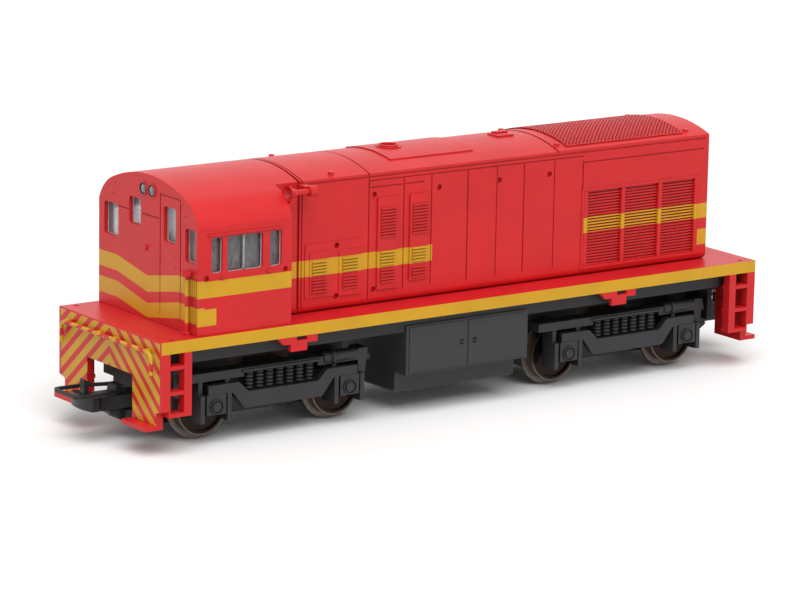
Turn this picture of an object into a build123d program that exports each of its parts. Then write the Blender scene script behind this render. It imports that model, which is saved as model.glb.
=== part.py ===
from build123d import *
import os
from math import sqrt

# Small-scale model of an end-cab diesel locomotive, in millimetres.
# +X runs forward to the cab end, +Y is the locomotive's left, +Z is up.
# Z = 0 is the lowest point of the wheel flanges, X = 0 is halfway along the frame.

os.makedirs("parts", exist_ok=True)

# ---------------------------------------------------------------- driving dimensions
# Frame
frame_length = 145.8
frame_width = 37.4
deck_top = 22.7
deck_thickness = 1.2
sill_depth = 2.4
sill_thickness = 1.0

# Pilots, the end plates with their footboards
pilot_thickness = 1.7
pilot_wing_bottom = 9.2
pilot_leg_outer = 16.6
pilot_leg_inner = 8.3
pilot_leg_bottom = 5.3
pilot_arch_top = 14.6
pilot_wing_drop = 0.5
footboard_inner = 8.3
footboard_reach = 2.4
footboard_thickness = 0.9

# Corner steps
step_length = 5.1
step_thickness = 2.0
step_tread_depth = 2.4
step_front_stile = 0.3
step_rear_stile = 1.7
step_rung = 0.75
step_rung_bottoms = (7.9, 12.2, 17.1)

# Uncoupling bars
lift_bar_radius = 0.4
lift_bar_stand_off = 0.9
lift_bar_height = 20.4
lift_bar_inset = 0.2
lift_bar_drop = 4.2
lift_bar_bend = 1.6
lift_bracket_offsets = (3.0, 14.6)
lift_bracket_width = 0.9

# Cab
cab_front = 64.4
cab_rear = 43.1
cab_setback = 0.83
cab_wall = 1.0
roof_crown = 51.1
roof_radius = 33.5
cab_wall_drop = 7.5
shoulder_start = 12.5
shoulder_mid_inset = 2.12
shoulder_mid_drop = 4.35
pane_corner = 0.6
pane_thickness = 0.6

# Hood
hood_rear = -65.0
hood_half_width = 11.8
hood_wall = 1.2
eave_fillet = 1.4
groove_width = 0.3
fine_groove_width = 0.2
groove_depth = 0.2
cab_gap_width = 0.55
cab_gap_depth = 0.5
rail_hole_radius = 0.6
rail_hole_depth = 0.6

# Roof hatch and exhaust
hatch_front = 13.2
hatch_rear = -7.1
hatch_half_width = 7.7
hatch_rise = 0.25
stack_x = 8.2
stack_flange_radius = 2.65
stack_flange_rise = 0.15
stack_radius = 2.05
stack_rise = 0.45
stack_bore_radius = 1.65
stack_bore_depth = 0.65

# Radiator section
radiator_front = -32.4
radiator_rear = -62.4
radiator_sill = 1.9
radiator_drop = 11.0
radiator_frame = 0.6
radiator_frame_rise = 0.15
shutter_recess = 0.9
shutter_fit = 0.05
shutter_backing = 0.2
shutter_slat_reach = 0.4
shutter_slat_height = 0.3
shutter_slats = 26
shutter_post_width = 0.9
cap_front = -25.7
cap_thickness = 0.1
cap_root = 0.9
grille_front = -28.5
grille_rear = -58.9
grille_half_width = 10.6
grille_backing = 0.15
grille_rib_rise = 0.2
grille_rib_width = 0.4
grille_ribs = 34

# Horn
horn_inset = 2.07
horn_drop = 3.3
horn_mouth_x = 42.9
horn_length = 6.6
horn_mouth_radius = 1.8
horn_throat_radius = 0.55
horn_wall = 0.35
horn_cone_length = 2.4
horn_cone_waist = 1.2
horn_waist_radius = 0.95
horn_bulb_radius = 1.05
horn_bulb_length = 1.7

# Chassis
chassis_bottom = 17.5
sill_clearance = 1.3
step_clearance = 1.1
tongue_clearance = 0.5
equipment_front = 14.95
equipment_rear = -15.0
equipment_skin = 0.35
equipment_bottom = 8.7
equipment_top = 18.7
tank_front = 14.75
tank_rear = -14.75
tank_half_width = 12.7
tank_bottom = 4.3
tank_chamfer = 0.5
motor_length = 34.0
motor_width = 15.0
motor_height = 18.0

# Trucks; places along a truck are counted forward from its centre
truck_centre = 42.6
half_wheelbase = 15.5
axle_height = 6.7
swivel_gap = 0.3
boss_radius = 5.0
king_pin_radius = 2.5
king_pin_fit = 0.08
king_pin_top_gap = 0.6
tower_half_width = 5.8
tower_front = 22.6
tower_rear = -20.0
tower_bottom = 3.4
tower_top = 15.4
transom_half_length = 3.5
transom_bottom = 8.0
transom_top = 14.0
end_sheet_thickness = 1.2
end_sheet_half_width = 12.8
end_sheet_waist = 9.2
end_sheet_top = 16.3
end_sheet_step = 9.8
end_sheet_bottom = 5.7
side_inner = 10.6
side_outer = 14.0
beam_bottom = 12.6
beam_top = 14.3
beam_front = 22.6
beam_rear = -20.3
beam_pocket_half_length = 8.6
beam_pocket_top = 13.5
beam_stub_length = 1.5
beam_stub_height = 1.2
beam_stub_depth = 2.0
rear_post_front = -18.1
rear_post_top = 14.9
rear_post_bottom = 4.5
rear_post_toe = 1.0
pedestal_offset = 3.05
pedestal_width = 0.95
pedestal_bottom = 4.6
pedestal_gap = 0.35
pedestal_setback = 0.1
box_bottom = 6.1
box_cover_height = 7.7
box_cover_radius = 1.5
box_cover_rise = 0.3
box_groove_outer = 1.3
box_groove_inner = 0.95
box_groove_depth = 0.3
box_outer = 15.0
equalizer_inner = 13.3
equalizer_outer = 14.9
equalizer_half_length = 17.3
equalizer_top = 11.9
equalizer_arm_bottom = 10.1
equalizer_valley = 9.8
equalizer_bottom = 6.6
equalizer_valley_end = 8.1
equalizer_rise_end = 10.2
equalizer_drop_start = 9.0
equalizer_drop_end = 11.8
equalizer_round = 0.9
spring_count = 7
spring_span = 15.9
spring_radius = 0.98
spring_core_radius = 0.66
spring_root = 0.2
spring_coils = 5
spring_cap_half_length = 9.0
spring_cap_height = 0.45
spring_cap_reach = 0.35
cylinder_front = -10.0
cylinder_rear = -18.1
cylinder_ring_radius = 1.6
cylinder_ring_length = 0.7
cylinder_ring_place = -12.6
cylinder_radius = 1.3
cylinder_height = 13.7
cylinder_y = 13.0

# Wheelsets
tread_radius = 5.6
flange_depth = 1.1
back_to_back = 14.4
wheel_width = 2.8
flange_width = 0.8
rim_width = 0.7
dish_depth = 0.5
hub_radius = 1.9
axle_radius = 1.0
axle_fit = 0.05

# Couplers
coupler_pin_x = 69.0
coupler_pin_radius = 0.9
coupler_fit = 0.08
arm_half_width = 3.5
arm_bottom = 3.8
arm_top = 6.2
arm_nose = 2.0
arm_lip_reach = 5.0
arm_lip_half_width = 1.9
arm_lip_edge = 0.5
shank_gap = 0.3
shank_half_width = 1.7
shank_height = 2.7
shank_box_reach = 7.3
shank_box_half_width = 2.6
head_front = 79.7
head_length = 2.2
head_bow = 0.7
head_half_width = 4.0
head_bottom = 6.95
head_top = 9.65
hook_thickness = 1.0
hook_half_width = 0.8
hook_top = 12.8
hook_tip = 0.6
hook_tip_height = 0.8
loop_pin_x = 71.6
loop_height = 10.3
loop_lead = 3.3
loop_strip = 0.65
loop_thickness = 0.65
loop_rear_half_width = 2.9
loop_half_width = 4.5
loop_straight = 6.6
loop_corner = 1.2
loop_pin_fit = 0.06
loop_boss_length = 1.6

# ---------------------------------------------------------------- worked-out places
frame_front = frame_length / 2
half_frame = frame_width / 2
deck_bottom = deck_top - deck_thickness
sill_bottom = deck_top - sill_depth
roof_centre = roof_crown - roof_radius
deck_length = frame_length - 2 * pilot_thickness
step_front = deck_length / 2
cab_half_width = half_frame - cab_setback
cab_wall_top = roof_crown - cab_wall_drop
hood_length = cab_rear - hood_rear
radiator_bottom = deck_top + radiator_sill
radiator_top = roof_crown - radiator_drop
ends = (("front", 1), ("rear", -1))
sides = (("left", 1), ("right", -1))


def crown_height(half_width):
    """Height of the roof arc at a distance from the centreline."""
    return roof_centre + sqrt(roof_radius**2 - half_width**2)


def side_plane(y):
    """Upright plane along the locomotive at a given Y; its sketch axes are X and Z."""
    return Plane.XZ.offset(-y)


def cross_plane(x):
    """Upright plane across the locomotive at a given X; its sketch axes are Y and Z."""
    return Plane.YZ.offset(x)


def finish(piece, label):
    """Labels a finished piece and writes its STEP file."""
    piece.part.label = label
    export_step(piece.part, f"parts/{label}.step")


hood_eave = crown_height(hood_half_width)
shoulder_height = crown_height(shoulder_start)

# ---------------------------------------------------------------- walkway
# One moulded deck with a sill down each side. The body stands on it, and the
# spine of the chassis comes up through the slot along its middle.
slot_front = 36.0
slot_rear = -58.0
slot_half_width = 9.6
grab_hole_radius = 0.45
grab_hole_inset = 1.5
grab_hole_setback = 3.0

with BuildPart() as walkway:
    with BuildSketch(Plane.XY.offset(deck_bottom)):
        Rectangle(deck_length, frame_width)
        with Locations(((slot_front + slot_rear) / 2, 0)):
            Rectangle(slot_front - slot_rear, 2 * slot_half_width, mode=Mode.SUBTRACT)
        with GridLocations(frame_length - 2 * grab_hole_setback, frame_width - 2 * grab_hole_inset, 2, 2):
            Circle(grab_hole_radius, mode=Mode.SUBTRACT)
    extrude(amount=deck_thickness)
    with BuildSketch(Plane.XY.offset(sill_bottom)):
        with GridLocations(0, frame_width - sill_thickness, 1, 2):
            Rectangle(deck_length, sill_thickness)
    extrude(amount=deck_bottom - sill_bottom)
finish(walkway, "walkway")

# ---------------------------------------------------------------- pilots
for end_name, end_sign in ends:
    outer_plane = cross_plane(end_sign * frame_front)
    with BuildPart() as pilot:
        with BuildSketch(outer_plane):
            with BuildLine():
                half_outline = [
                    (0, deck_top),
                    (half_frame, deck_top),
                    (half_frame, pilot_wing_bottom),
                    (pilot_leg_outer, pilot_wing_bottom - pilot_wing_drop),
                    (pilot_leg_outer, pilot_leg_bottom),
                    (pilot_leg_inner, pilot_leg_bottom),
                    (pilot_leg_inner, pilot_arch_top),
                    (0, pilot_arch_top),
                ]
                Polyline(*half_outline, close=True)
            make_face()
            mirror(about=Plane.YZ)
        extrude(amount=-end_sign * pilot_thickness)
        footboard_middle = (footboard_inner + pilot_leg_outer) / 2
        with BuildSketch(Plane.XY.offset(pilot_leg_bottom)):
            with Locations((end_sign * (frame_front + footboard_reach / 2), 0)):
                with GridLocations(0, 2 * footboard_middle, 1, 2):
                    Rectangle(footboard_reach, pilot_leg_outer - footboard_inner)
        extrude(amount=footboard_thickness)
    finish(pilot, f"pilot_{end_name}")

# ---------------------------------------------------------------- corner steps
# A ladder-like side plate with deep rungs, under each corner of the deck.
step_middle = step_front - step_length / 2
step_bottom = step_rung_bottoms[0]
step_height = sill_bottom - step_bottom
stiles = (
    # front X, length
    (step_front, step_front_stile),
    (step_front - step_length + step_rear_stile, step_rear_stile),
)

for end_name, end_sign in ends:
    for side_name, side_sign in sides:
        with BuildPart() as steps:
            with BuildSketch(side_plane(side_sign * half_frame)):
                for stile_front, stile_length in stiles:
                    stile_x = end_sign * (stile_front - stile_length / 2)
                    with Locations((stile_x, step_bottom + step_height / 2)):
                        Rectangle(stile_length, step_height)
            extrude(amount=side_sign * step_thickness)
            tread_y = side_sign * (half_frame - step_tread_depth / 2)
            for rung_bottom in step_rung_bottoms:
                with BuildSketch(Plane.XY.offset(rung_bottom)):
                    with Locations((end_sign * step_middle, tread_y)):
                        Rectangle(step_length, step_tread_depth)
                extrude(amount=step_rung)
        finish(steps, f"steps_{end_name}_{side_name}")

# ---------------------------------------------------------------- uncoupling bars
# A wire across the front of each pilot, carried by small brackets, with its
# two ends bent down as handles.
lift_bar_half_span = pilot_leg_outer - lift_bar_inset

for end_name, end_sign in ends:
    pilot_face = end_sign * frame_front
    bar_x = end_sign * (frame_front + lift_bar_stand_off)
    with BuildPart() as lift_bar:
        with BuildLine():
            bar_route = [
                (bar_x, -lift_bar_half_span, lift_bar_height - lift_bar_drop),
                (bar_x, -lift_bar_half_span, lift_bar_height),
                (bar_x, lift_bar_half_span, lift_bar_height),
                (bar_x, lift_bar_half_span, lift_bar_height - lift_bar_drop),
            ]
            FilletPolyline(*bar_route, radius=lift_bar_bend)
        with BuildSketch(Plane.XY.offset(lift_bar_height - lift_bar_drop)):
            with Locations((bar_x, -lift_bar_half_span)):
                Circle(lift_bar_radius)
        sweep()
        for bracket_offset in lift_bracket_offsets:
            bracket_reach = lift_bar_stand_off + lift_bar_radius
            with BuildSketch(Plane.XY.offset(lift_bar_height - lift_bracket_width / 2)):
                with Locations((pilot_face + end_sign * bracket_reach / 2, 0)):
                    with GridLocations(0, 2 * bracket_offset, 1, 2):
                        Rectangle(bracket_reach, lift_bracket_width)
            extrude(amount=lift_bracket_width)
    finish(lift_bar, f"lift_bar_{end_name}")

# ---------------------------------------------------------------- cab
# A hollow arch-roofed box, open underneath, standing on the deck.
front_panes = (
    # middle Y, middle below the crown, width, height
    (-13.3, 11.0, 5.2, 6.5),
    (-4.6, 7.9, 4.2, 5.3),
    (7.9, 8.6, 4.3, 6.9),
    (15.2, 11.4, 3.6, 6.5),
)
side_pane_drop = 13.1
side_pane_height = 6.9
side_panes = (
    # middle X, width
    (60.1, 2.5),
    (53.75, 8.1),
    (46.8, 2.7),
)
front_seams = (
    # middle Y, middle below the crown, width, height
    (4.5, 14.8, groove_width, 23.6),
    (11.7, 14.8, groove_width, 23.6),
    (8.1, 3.1, 7.5, groove_width),
    (-3.3, 7.9, 14.6, groove_width),
    (15.9, 22.1, groove_width, 9.8),
    (16.6, 22.1, groove_width, 9.8),
    (17.3, 22.1, groove_width, 9.8),
)
rear_pane_y = 14.7
rear_pane_width = 2.6
rear_pane_height = 6.5
rear_pane_drop = 11.6
lamp_radius = 1.15
lamp_spacing = 3.1
lamp_drop = 3.0
lamp_rim = 0.25
lamp_rim_rise = 0.2
gutter_drop = 9.1
gutter_front = 62.2
gutter_rear = 45.2
gutter_reach = 0.3
gutter_thickness = 0.4
brake_post_y = 14.9
brake_post_gap = 0.55
brake_post_radius = 0.4
brake_post_height = 11.5
brake_wheel_radius = 1.1
brake_wheel_thickness = 0.7
brake_foot_radius = 0.9
brake_foot_height = 0.6
cab_knob_y = -0.7
cab_knob_drop = 14.4
cab_knob_radius = 0.55
cab_knob_reach = 0.35
cab_rail_holes = (
    # X, below the crown
    (62.5, 17.4),
    (44.6, 17.4),
)


def cab_section(inset):
    """Arch-topped outline across the cab, drawn in by inset all round."""
    half_width = cab_half_width - inset
    crown = roof_crown - inset
    shoulder = (shoulder_start - inset / 2, shoulder_height - inset)
    shoulder_middle = (half_width - shoulder_mid_inset, crown - shoulder_mid_drop + inset / 2)
    with BuildSketch() as section:
        with BuildLine():
            Polyline((0, crown), (0, deck_top), (half_width, deck_top), (half_width, cab_wall_top))
            ThreePointArc((half_width, cab_wall_top), shoulder_middle, shoulder)
            RadiusArc(shoulder, (0, crown), -roof_radius)
        make_face()
        mirror(about=Plane.YZ)
    return section.sketch


cab_outside = cab_section(0)
cab_inside = cab_section(cab_wall)

with BuildPart() as cab:
    with BuildSketch(cross_plane(cab_rear)):
        add(cab_outside)
    extrude(amount=cab_front - cab_rear)
    with BuildSketch(cross_plane(cab_rear + cab_wall)):
        add(cab_inside)
    extrude(amount=cab_front - cab_rear - 2 * cab_wall, mode=Mode.SUBTRACT)
    with BuildSketch(cross_plane(cab_front)):
        with Locations((0, roof_crown - lamp_drop)):
            with GridLocations(lamp_spacing, 0, 2, 1):
                Circle(lamp_radius + lamp_rim)
    extrude(amount=lamp_rim_rise)
    with BuildSketch(cross_plane(cab_front)):
        with Locations((cab_knob_y, roof_crown - cab_knob_drop)):
            Circle(cab_knob_radius)
    extrude(amount=cab_knob_reach)
    with BuildSketch(cross_plane(cab_front)):
        for seam_y, seam_drop, seam_width, seam_height in front_seams:
            with Locations((seam_y, roof_crown - seam_drop)):
                Rectangle(seam_width, seam_height)
    extrude(amount=-groove_depth, mode=Mode.SUBTRACT)
    with BuildSketch(cross_plane(cab_front)):
        for pane_y, pane_drop, pane_width, pane_height in front_panes:
            with Locations((pane_y, roof_crown - pane_drop)):
                RectangleRounded(pane_width, pane_height, pane_corner)
    extrude(amount=-cab_wall, mode=Mode.SUBTRACT)
    with BuildSketch(cross_plane(cab_front + lamp_rim_rise)):
        with Locations((0, roof_crown - lamp_drop)):
            with GridLocations(lamp_spacing, 0, 2, 1):
                Circle(lamp_radius)
    extrude(amount=-cab_wall - lamp_rim_rise, mode=Mode.SUBTRACT)
    with BuildSketch(side_plane(0)):
        for pane_x, pane_width in side_panes:
            with Locations((pane_x, roof_crown - side_pane_drop)):
                RectangleRounded(pane_width, side_pane_height, pane_corner)
    extrude(amount=cab_half_width, both=True, mode=Mode.SUBTRACT)
    with BuildSketch(cross_plane(cab_rear)):
        with Locations((0, roof_crown - rear_pane_drop)):
            with GridLocations(2 * rear_pane_y, 0, 2, 1):
                RectangleRounded(rear_pane_width, rear_pane_height, pane_corner)
    extrude(amount=cab_wall, mode=Mode.SUBTRACT)
    for side_name, side_sign in sides:
        with BuildSketch(side_plane(side_sign * cab_half_width)):
            with Locations(((gutter_front + gutter_rear) / 2, roof_crown - gutter_drop)):
                Rectangle(gutter_front - gutter_rear, gutter_thickness)
        extrude(amount=-side_sign * gutter_reach)
        with BuildSketch(side_plane(side_sign * cab_half_width)):
            for hole_x, hole_drop in cab_rail_holes:
                with Locations((hole_x, roof_crown - hole_drop)):
                    Circle(rail_hole_radius)
        extrude(amount=side_sign * rail_hole_depth, mode=Mode.SUBTRACT)
    for disc_radius, disc_bottom, disc_height in (
        (brake_foot_radius, deck_top, brake_foot_height),
        (brake_post_radius, deck_top, brake_post_height),
        (brake_wheel_radius, deck_top + brake_post_height, brake_wheel_thickness),
    ):
        with BuildSketch(Plane.XY.offset(disc_bottom)):
            with Locations((cab_front + brake_post_gap, brake_post_y)):
                Circle(disc_radius)
        extrude(amount=disc_height)
finish(cab, "cab")

# ---------------------------------------------------------------- cab glazing
# One clear moulding inside the cab: a pane wall behind each row of windows.
glazing_bottom = roof_crown - 17.9
glazing_top = roof_crown - 7.7
glazing_crown = roof_crown - 4.6
glazing_front_half = 10.6
sash_x = 53.9
sash_width = 0.5
sash_rise = 0.3
sash_gap = 0.2
inner_front = cab_front - cab_wall
inner_rear = cab_rear + cab_wall
inner_half_width = cab_half_width - cab_wall

with BuildPart() as cab_glazing:
    with BuildSketch(Plane.XY.offset(glazing_bottom)):
        with Locations(((inner_front + inner_rear) / 2, 0)):
            Rectangle(inner_front - inner_rear, 2 * inner_half_width)
        offset(amount=-pane_thickness, mode=Mode.SUBTRACT)
    extrude(amount=glazing_top - glazing_bottom)
    with BuildSketch(cross_plane(inner_front)):
        with Locations((0, (glazing_top + glazing_crown) / 2)):
            Rectangle(2 * glazing_front_half, glazing_crown - glazing_top)
    extrude(amount=-pane_thickness)
    with BuildSketch(side_plane(0)):
        with Locations((sash_x, roof_crown - side_pane_drop)):
            Rectangle(sash_width, side_pane_height - 2 * sash_gap)
    extrude(amount=inner_half_width + sash_rise, both=True)
    with BuildSketch(Plane.XY.offset(glazing_bottom)):
        with Locations(((inner_front + inner_rear) / 2, 0)):
            Rectangle(inner_front - inner_rear, 2 * inner_half_width)
        offset(amount=-pane_thickness, kind=Kind.INTERSECTION, mode=Mode.REPLACE)
    extrude(amount=glazing_top - glazing_bottom, mode=Mode.SUBTRACT)
finish(cab_glazing, "cab_glazing")

# ---------------------------------------------------------------- headlamp lenses
lens_setback = 0.3

lens_rows = (
    # end, way it faces, outside of the wall, wall thickness
    ("front", 1, cab_front, cab_wall),
    ("rear", -1, hood_rear, hood_wall),
)

for end_name, end_sign, wall_x, wall_thickness in lens_rows:
    with BuildPart() as lenses:
        with BuildSketch(cross_plane(wall_x - end_sign * lens_setback)):
            with Locations((0, roof_crown - lamp_drop)):
                with GridLocations(lamp_spacing, 0, 2, 1):
                    Circle(lamp_radius)
        extrude(amount=-end_sign * (wall_thickness - lens_setback))
    finish(lenses, f"headlamp_lenses_{end_name}")

# ---------------------------------------------------------------- hood
# A long hollow shell, open underneath, its roof an arc from eave to eave.
seam_foot = 2.5
panel_line_drop = 1.45
seam_height = hood_eave - panel_line_drop - deck_top - seam_foot
seam_z = deck_top + seam_foot + seam_height / 2
hood_seams = (
    # X, width, depth
    (37.6, cab_gap_width, cab_gap_depth),
    (36.8, groove_width, groove_depth),
    (21.0, groove_width, groove_depth),
)
side_seams = (
    # middle X, middle Z, length, height
    (-14.0, hood_eave - 0.65, 100.0, groove_width),
    (-5.5, hood_eave - panel_line_drop, 53.0, fine_groove_width),
    (14.2, hood_eave - 2.8, 13.0, groove_width),
    (12.6, seam_z, groove_width, seam_height),
    (5.9, seam_z, groove_width, seam_height),
    (-3.0, seam_z, groove_width, seam_height),
    (-10.2, seam_z, fine_groove_width, seam_height),
    (-17.0, seam_z, groove_width, seam_height),
    (-24.7, seam_z, fine_groove_width, seam_height),
    (-32.0, (deck_top + hood_eave) / 2, groove_width, hood_eave - deck_top - 5.0),
    (-47.9, hood_eave - 2.8, 31.5, groove_width),
)
doors = (
    # front X, rear X, bottom Z, top Z
    (36.0, 22.5, deck_top + 2.9, deck_top + 13.7),
    (35.0, 30.6, deck_top + 3.8, deck_top + 12.1),
    (28.1, 23.0, deck_top + 2.7, deck_top + 11.9),
    (19.0, 14.1, deck_top + 2.9, hood_eave - 5.0),
    (11.2, 6.8, deck_top + 3.9, hood_eave - 5.0),
)
door_rise = 0.2
inner_door_rise = 0.35
louvre_groups = (
    # middle X, middle Z, width, height
    (32.8, deck_top + 8.9, 3.4, 3.1),
    (32.8, deck_top + 5.4, 3.4, 3.1),
    (25.5, deck_top + 8.9, 3.6, 3.1),
    (25.5, deck_top + 5.4, 3.6, 3.1),
    (16.4, hood_eave - 10.0, 3.6, 6.2),
    (16.6, deck_top + 9.1, 3.4, 3.1),
    (16.6, deck_top + 5.6, 3.4, 3.1),
    (8.8, hood_eave - 10.0, 3.6, 6.2),
    (9.0, deck_top + 9.1, 3.4, 3.1),
    (9.0, deck_top + 5.6, 3.4, 2.5),
)
louvre_pitch = 0.62
louvre_height = 0.34
louvre_rise = 0.3
rail_holes = (
    # X, Z
    (28.6, deck_top + 12.8),
    (28.6, deck_top + 2.7),
    (19.7, hood_eave - 4.3),
    (19.7, deck_top + 3.0),
    (4.0, hood_eave - 4.4),
    (-10.8, hood_eave - 4.4),
    (-23.4, hood_eave - 4.4),
)
end_door_half_width = 4.2
end_door_top = roof_crown - 8.0
end_door_bottom = deck_top + 1.8
end_door_handle_y = 3.0
end_door_handle_length = 3.0
end_door_handle_width = 0.6
number_board_y = 7.6
number_board_drop = 6.6
number_board_width = 4.2
number_board_height = 1.9
roof_boxes = (
    # X, Y, length, width, rise
    (-19.6, 0.2, 4.1, 3.5, 0.3),
    (-20.1, -0.85, 3.1, 1.4, 0.65),
)
lug_places = (
    # X, distance from the centreline
    (29.1, 10.4),
    (-26.9, 9.4),
    (-60.4, 9.6),
)
lug_radius = 0.6
lug_height = 0.5


def hood_section(inset):
    """Arc-topped outline across the hood, drawn in by inset all round."""
    half_width = hood_half_width - inset
    crown = roof_crown - inset
    eave = (half_width, hood_eave - inset)
    with BuildSketch() as section:
        with BuildLine():
            Polyline((0, crown), (0, deck_top), (half_width, deck_top), eave)
            RadiusArc(eave, (0, crown), -roof_radius)
        make_face()
        mirror(about=Plane.YZ)
        fillet(section.vertices().group_by(Axis.Y)[-2], eave_fillet)
    return section.sketch


hood_outside = hood_section(0)
hood_inside = hood_section(hood_wall)

def roof_band(half_width, rise, thickness):
    """Cross-section of a band that lies on the roof arc."""
    low = crown_height(half_width) + rise
    with BuildSketch() as band:
        with BuildLine():
            Polyline((0, roof_crown + rise), (0, roof_crown + rise + thickness))
            RadiusArc((0, roof_crown + rise + thickness), (half_width, low + thickness), roof_radius)
            Line((half_width, low + thickness), (half_width, low))
            RadiusArc((half_width, low), (0, roof_crown + rise), -roof_radius)
        make_face()
        mirror(about=Plane.YZ)
    return band.sketch


cap_section = roof_band(hood_half_width, -cap_root, cap_thickness + cap_root)
cap_seam = roof_band(hood_half_width, -groove_depth, 2 * groove_depth)
radiator_middle = ((radiator_front + radiator_rear) / 2, (radiator_bottom + radiator_top) / 2)
radiator_length = radiator_front - radiator_rear
radiator_height = radiator_top - radiator_bottom

with BuildPart() as hood:
    with BuildSketch(cross_plane(hood_rear)):
        add(hood_outside)
    extrude(amount=hood_length)
    with BuildSketch(cross_plane(hood_rear + hood_wall)):
        add(hood_inside)
    extrude(amount=hood_length - 2 * hood_wall, mode=Mode.SUBTRACT)
    for seam_x, seam_width, seam_depth in hood_seams:
        with BuildSketch(cross_plane(seam_x - seam_width / 2)):
            add(hood_outside)
            add(hood_section(seam_depth), mode=Mode.SUBTRACT)
        extrude(amount=seam_width, mode=Mode.SUBTRACT)
    with BuildSketch(cross_plane(hood_rear)):
        add(cap_section)
    extrude(amount=cap_front - hood_rear)
    with BuildSketch(cross_plane(cap_front)):
        add(cap_seam)
    extrude(amount=groove_width, mode=Mode.SUBTRACT)
    with BuildSketch(cross_plane(hood_rear)):
        with Locations((0, roof_crown - lamp_drop)):
            with GridLocations(lamp_spacing, 0, 2, 1):
                Circle(lamp_radius + lamp_rim)
    extrude(amount=-lamp_rim_rise)
    with BuildSketch(cross_plane(hood_rear - lamp_rim_rise)):
        with Locations((0, roof_crown - lamp_drop)):
            with GridLocations(lamp_spacing, 0, 2, 1):
                Circle(lamp_radius)
    extrude(amount=hood_wall + lamp_rim_rise, mode=Mode.SUBTRACT)
    with BuildSketch(cross_plane(hood_rear)):
        with Locations((0, (end_door_bottom + end_door_top) / 2)):
            Rectangle(2 * end_door_half_width, end_door_top - end_door_bottom)
        with Locations((0, roof_crown - number_board_drop)):
            with GridLocations(2 * number_board_y, 0, 2, 1):
                Rectangle(number_board_width, number_board_height)
    extrude(amount=-door_rise)
    with BuildSketch(cross_plane(hood_rear - door_rise)):
        with Locations((end_door_handle_y, (end_door_bottom + end_door_top) / 2)):
            Rectangle(end_door_handle_width, end_door_handle_length)
    extrude(amount=-door_rise)
    for box_x, box_y, box_length, box_width, box_rise in roof_boxes:
        box_root = crown_height(abs(box_y) + box_width)
        with BuildSketch(Plane.XY.offset(box_root)):
            with Locations((box_x, box_y)):
                Rectangle(box_length, box_width)
        extrude(amount=roof_crown + box_rise - box_root)
    for side_name, side_sign in sides:
        with BuildSketch(side_plane(side_sign * hood_half_width)):
            for seam_x, seam_z, seam_length, seam_height in side_seams:
                with Locations((seam_x, seam_z)):
                    Rectangle(seam_length, seam_height)
        extrude(amount=side_sign * groove_depth, mode=Mode.SUBTRACT)
        for door_number, (door_front, door_rear, door_bottom, door_top) in enumerate(doors):
            with BuildSketch(side_plane(side_sign * hood_half_width)):
                with Locations(((door_front + door_rear) / 2, (door_bottom + door_top) / 2)):
                    Rectangle(door_front - door_rear, door_top - door_bottom)
            extrude(amount=-side_sign * (inner_door_rise if door_number else door_rise))
        for louvre_x, louvre_z, louvre_width, louvre_group_height in louvre_groups:
            louvre_rows = round(louvre_group_height / louvre_pitch)
            with BuildSketch(side_plane(side_sign * (hood_half_width + inner_door_rise))):
                with Locations((louvre_x, louvre_z)):
                    with GridLocations(0, louvre_pitch, 1, louvre_rows):
                        Rectangle(louvre_width, louvre_height)
            extrude(amount=-side_sign * louvre_rise)
        with BuildSketch(side_plane(side_sign * (hood_half_width + inner_door_rise))):
            for hole_x, hole_z in rail_holes:
                with Locations((hole_x, hole_z)):
                    Circle(rail_hole_radius)
        extrude(amount=side_sign * (rail_hole_depth + inner_door_rise), mode=Mode.SUBTRACT)
        with BuildSketch(side_plane(side_sign * hood_half_width)):
            with Locations(radiator_middle):
                Rectangle(radiator_length + 2 * radiator_frame, radiator_height + 2 * radiator_frame)
                Rectangle(radiator_length, radiator_height, mode=Mode.SUBTRACT)
        extrude(amount=-side_sign * radiator_frame_rise)
        with BuildSketch(side_plane(side_sign * hood_half_width)):
            with Locations(radiator_middle):
                Rectangle(radiator_length, radiator_height)
        extrude(amount=side_sign * shutter_recess, mode=Mode.SUBTRACT)
        for lug_x, lug_y in lug_places:
            with BuildSketch(Plane.XY.offset(crown_height(lug_y + lug_radius))):
                with Locations((lug_x, side_sign * lug_y)):
                    Circle(lug_radius)
            extrude(amount=crown_height(lug_y) + lug_height - crown_height(lug_y + lug_radius))
finish(hood, "hood")

# ---------------------------------------------------------------- roof hatch and exhaust
# A raised panel that follows the roof arc, with a round exhaust stack on it.
hatch_section = roof_band(hatch_half_width, 0, hatch_rise)
hatch_top = roof_crown + hatch_rise

with BuildPart() as roof_hatch:
    with BuildSketch(cross_plane(hatch_rear)):
        add(hatch_section)
    extrude(amount=hatch_front - hatch_rear)
    with BuildSketch(Plane.XY.offset(roof_crown)):
        with Locations((stack_x, 0)):
            Circle(stack_flange_radius)
    extrude(amount=hatch_rise + stack_flange_rise)
    with BuildSketch(Plane.XY.offset(roof_crown)):
        with Locations((stack_x, 0)):
            Circle(stack_radius)
    extrude(amount=hatch_rise + stack_rise)
    with BuildSketch(Plane.XY.offset(hatch_top + stack_rise)):
        with Locations((stack_x, 0)):
            Circle(stack_bore_radius)
    extrude(amount=-stack_bore_depth, mode=Mode.SUBTRACT)
finish(roof_hatch, "roof_hatch")

# ---------------------------------------------------------------- radiator section
# A ribbed grille over the fan on the roof, and slatted shutters set into both sides.
grille_back = roof_band(grille_half_width, cap_thickness, grille_backing)
grille_rib = roof_band(grille_half_width, cap_thickness + grille_backing, grille_rib_rise)
grille_length = grille_front - grille_rear
grille_pitch = (grille_length - grille_rib_width) / (grille_ribs - 1)

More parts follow.
